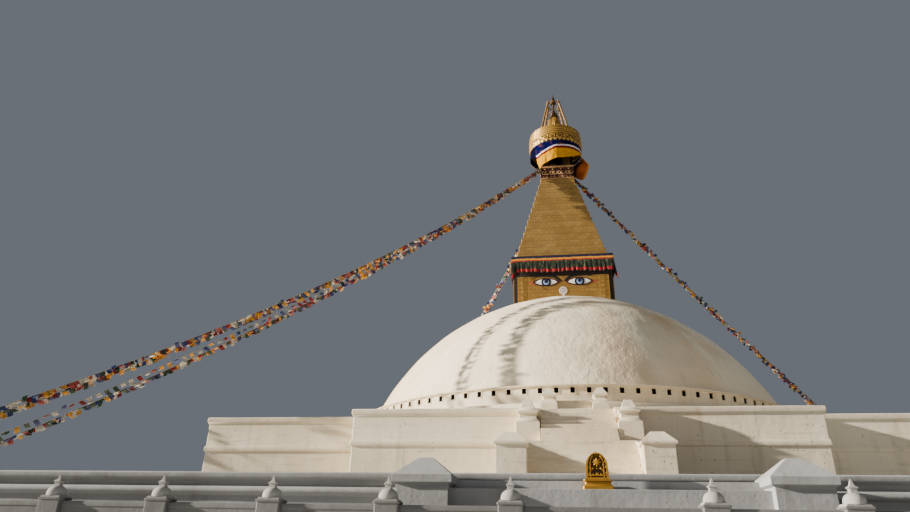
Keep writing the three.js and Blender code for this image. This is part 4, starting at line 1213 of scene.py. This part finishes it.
def loose_flap():
    """A grid from the near to the far edge in an upright plane through the axis, with two waves across that
    plane, and its place in the cloth."""
    down, over = np.meshgrid(np.linspace(0, 1, 28), np.linspace(0, 1, 20), indexing="ij")
    (near, near_height), (far, far_height) = edge_line(FLAP_NEAR, 28), edge_line(FLAP_FAR, 28)
    reach, z = near + (far - near) * over, near_height + (far_height - near_height) * over
    wave = 9 * np.sin(over * 5 + down * 4) * down + 6 * np.sin(down * 9 + over * 2) * over
    cosine, sine = math.cos(FLAP_TURN - math.pi / 2), math.sin(FLAP_TURN - math.pi / 2)
    grid = np.stack([reach * cosine - wave * sine, reach * sine + wave * cosine, z], -1)
    return grid, np.stack([over, down, 0 * down], -1)


shell, weave, area = wrapped_cloth()
wrap = make("umbrella_cloth_satin", [shell], satin(), ["umbrella_cloth"], smooth=60,
            attributes={"weave": [weave]})
grid, weave = loose_flap()
flap = make("cloth_flap_sewn", [cloth(grid[None], 2)], flap_cotton(), ["cloth_flap"],
            smooth=60, attributes={"weave": [np.stack([weave, weave])]})

# Mound and finial
# On the crown sit a fluted gilt mound and, over it, a stack of dark cast bells on a
# stem that ends in a jewel. Both are round about the axis, cast or spun in one piece.
LOBES = ((60, UMBRELLA_TOP - 1), (62, UMBRELLA_TOP + 6), (64, 3990), (62.5, 4015), (60, 4035), (55.5, 4053),
         (50, 4070), (42, 4080), (34, 4086))
STACK = ((38, 4086), (44, 4089), (47, 4095), (45, 4103), (40, 4107), (42, 4112), (38, 4118), (33, 4121),
         (36, 4127), (36, 4132), (28, 4140), (24, 4150), (15, 4163), (11, 4172), (13, 4176), (9, 4181),
         (7.5, 4200), (9, 4215), (7, 4230), (7, 4247), (12, 4254), (20, 4258), (28, 4263), (29, 4270),
         (26, 4279), (17, 4288), (15, 4294), (19, 4300), (18, 4308), (13, 4322), (10, 4336), (5, 4350),
         (3, 4366), (0.8, 4384))

mound = turned(LOBES, 192, flutes=24, depth=0.10)
fluted = np.hypot(mound[0][..., 0], mound[0][..., 1])
raised = level_of((fluted / np.maximum(fluted.max(1, keepdims=True), 1) - 0.9) / 0.06)
make("mound_fluted", [mound], umbrella_gold, ["finial_mound"], smooth=50,
     attributes={"raised": [raised]})
finial_gold = gilding("finial_gold", "4c3315", "281a0a", "0e0803", roughness=0.45, metallic=0.6)
make("finial_cast", [turned(STACK, 48)], finial_gold, ["finial"], smooth=50)

# Struts
# Four gilt bars lean in from the crown to a ring under the finial's upper bell. Collars
# are shrunk on to them, and thin rods tie them to the stem and to each other.
STRUT_FOOT, STRUT_HEAD, STRUT_BOTTOM, STRUT_TOP = 174, 70, 3901.2, 4265
STRUT_RADIUS, COLLAR_LENGTH = 9.5, 0.016
COLLARS = ((4, 0.04), (2, 0.3), (2, 0.52), (2, 0.74), (4, 0.93))
TIES = ((4108, 47), (4190, 8))
KNOB = (9, 15, 17, 13, 9, 10, 6, 1)


def bar(start, end, radii, columns):
    """A round bar between two points: its radius follows the values in radii, spread evenly along it."""
    start, end = np.array(start, float), np.array(end, float)
    along = (end - start) / np.linalg.norm(end - start)
    side = np.cross(along, [0.3, 0.5, 0.81])
    side /= np.linalg.norm(side)
    other = np.cross(along, side)
    angle = full_turn(columns)[:, None]
    round_line = np.cos(angle) * side + np.sin(angle) * other
    share = np.linspace(0, 1, len(radii))[:, None]
    middle = start + (end - start) * share
    rows = middle[:, None] + np.asarray(radii, float)[:, None, None] * round_line
    first, last = (np.broadcast_to(point, rows[:1].shape) for point in (start, end))
    rows = np.concatenate([first, rows, last])
    return rows, grid_quads(*rows.shape[:2], around=True)


def hoop(radius, height, thickness):
    """A ring of round bar about the axis."""
    angle, section = full_turn(48), full_turn(10)[:, None]
    reach = radius + thickness * np.cos(section) + 0 * angle
    return revolved(reach, angle, height + thickness * np.sin(section), over=True)


def one_strut():
    """A bar with its collars, its ties and its knob, turned to stand on a diagonal."""
    t = np.linspace(0, 1, 60)
    radii = STRUT_RADIUS + sum(size * np.exp(-(((t - at) / COLLAR_LENGTH) ** 2)) for size, at in COLLARS)
    shells = [bar((STRUT_FOOT, 0, STRUT_BOTTOM + 3), (STRUT_HEAD, 0, STRUT_TOP), radii, 12)]
    for z, inner in TIES:
        reach = STRUT_FOOT + (STRUT_HEAD - STRUT_FOOT) * (z - STRUT_BOTTOM) / (STRUT_TOP - STRUT_BOTTOM)
        shells.append(bar((reach, 0, z), (inner, 0, z), np.full(4, 1.4), 8))
        shells.append(bar((reach, 0, z), (0, reach, z), np.full(4, 1.1), 8))
    shells.append(bar((STRUT_HEAD + 2, 0, 4236), (STRUT_HEAD + 2, 0, 4276), KNOB, 12))
    diagonal = np.array([[1, 1, 0], [-1, 1, 0], [0, 0, math.sqrt(2)]]) / math.sqrt(2)
    return [(points @ diagonal, quads) for points, quads in shells]


strut_gold = gilding("strut_gold", "96703a", "664a22", "2c1d0b", roughness=0.6, metallic=0.35)
make("strut_bars", [*four_turns(one_strut()), hoop(STRUT_HEAD, 4249, 5)], strut_gold,
     ["strut_frame"])

# Floor and light
# A plain pale floor under a low warm key from the left, a broad soft light from the front
# left and a cool even fill.
FLOOR_HALF = 60
SKY_COLOUR, SKY_STRENGTH = (0.72, 0.80, 0.92, 1), 0.2


def sun(name, energy, width, colour, lean, turn):
    """A distant light, width degrees wide, that leans from straight down by lean degrees and is then
    turned about the vertical."""
    data = bpy.data.lights.new(name, "SUN")
    data.energy = energy
    data.angle = math.radians(width)
    data.color = colour
    added(name, data).rotation_euler = (math.radians(lean), 0, math.radians(turn))


floor_finish = Finish("floor", Roughness=0.9)
floor_finish.coloured("d9d8d5")
corners = [(x * FLOOR_HALF, y * FLOOR_HALF, 0) for x, y in ((-1, -1), (1, -1), (1, 1), (-1, 1))]
floor_mesh = bpy.data.meshes.new("floor")
floor_mesh.from_pydata(corners, [], [(0, 1, 2, 3)])
floor_mesh.materials.append(floor_finish.material)
floor = added("floor", floor_mesh)

sun("key", 14.0, 1.2, (1.0, 0.93, 0.82), 74.3, -82.1)
sun("soft", 0.12, 80, (1.0, 0.96, 0.90), 60, -25)

world = bpy.data.worlds.new("studio")
world.use_nodes = True
background = world.node_tree.nodes["Background"]
background.inputs["Color"].default_value = SKY_COLOUR
background.inputs["Strength"].default_value = SKY_STRENGTH
bpy.context.scene.world = world
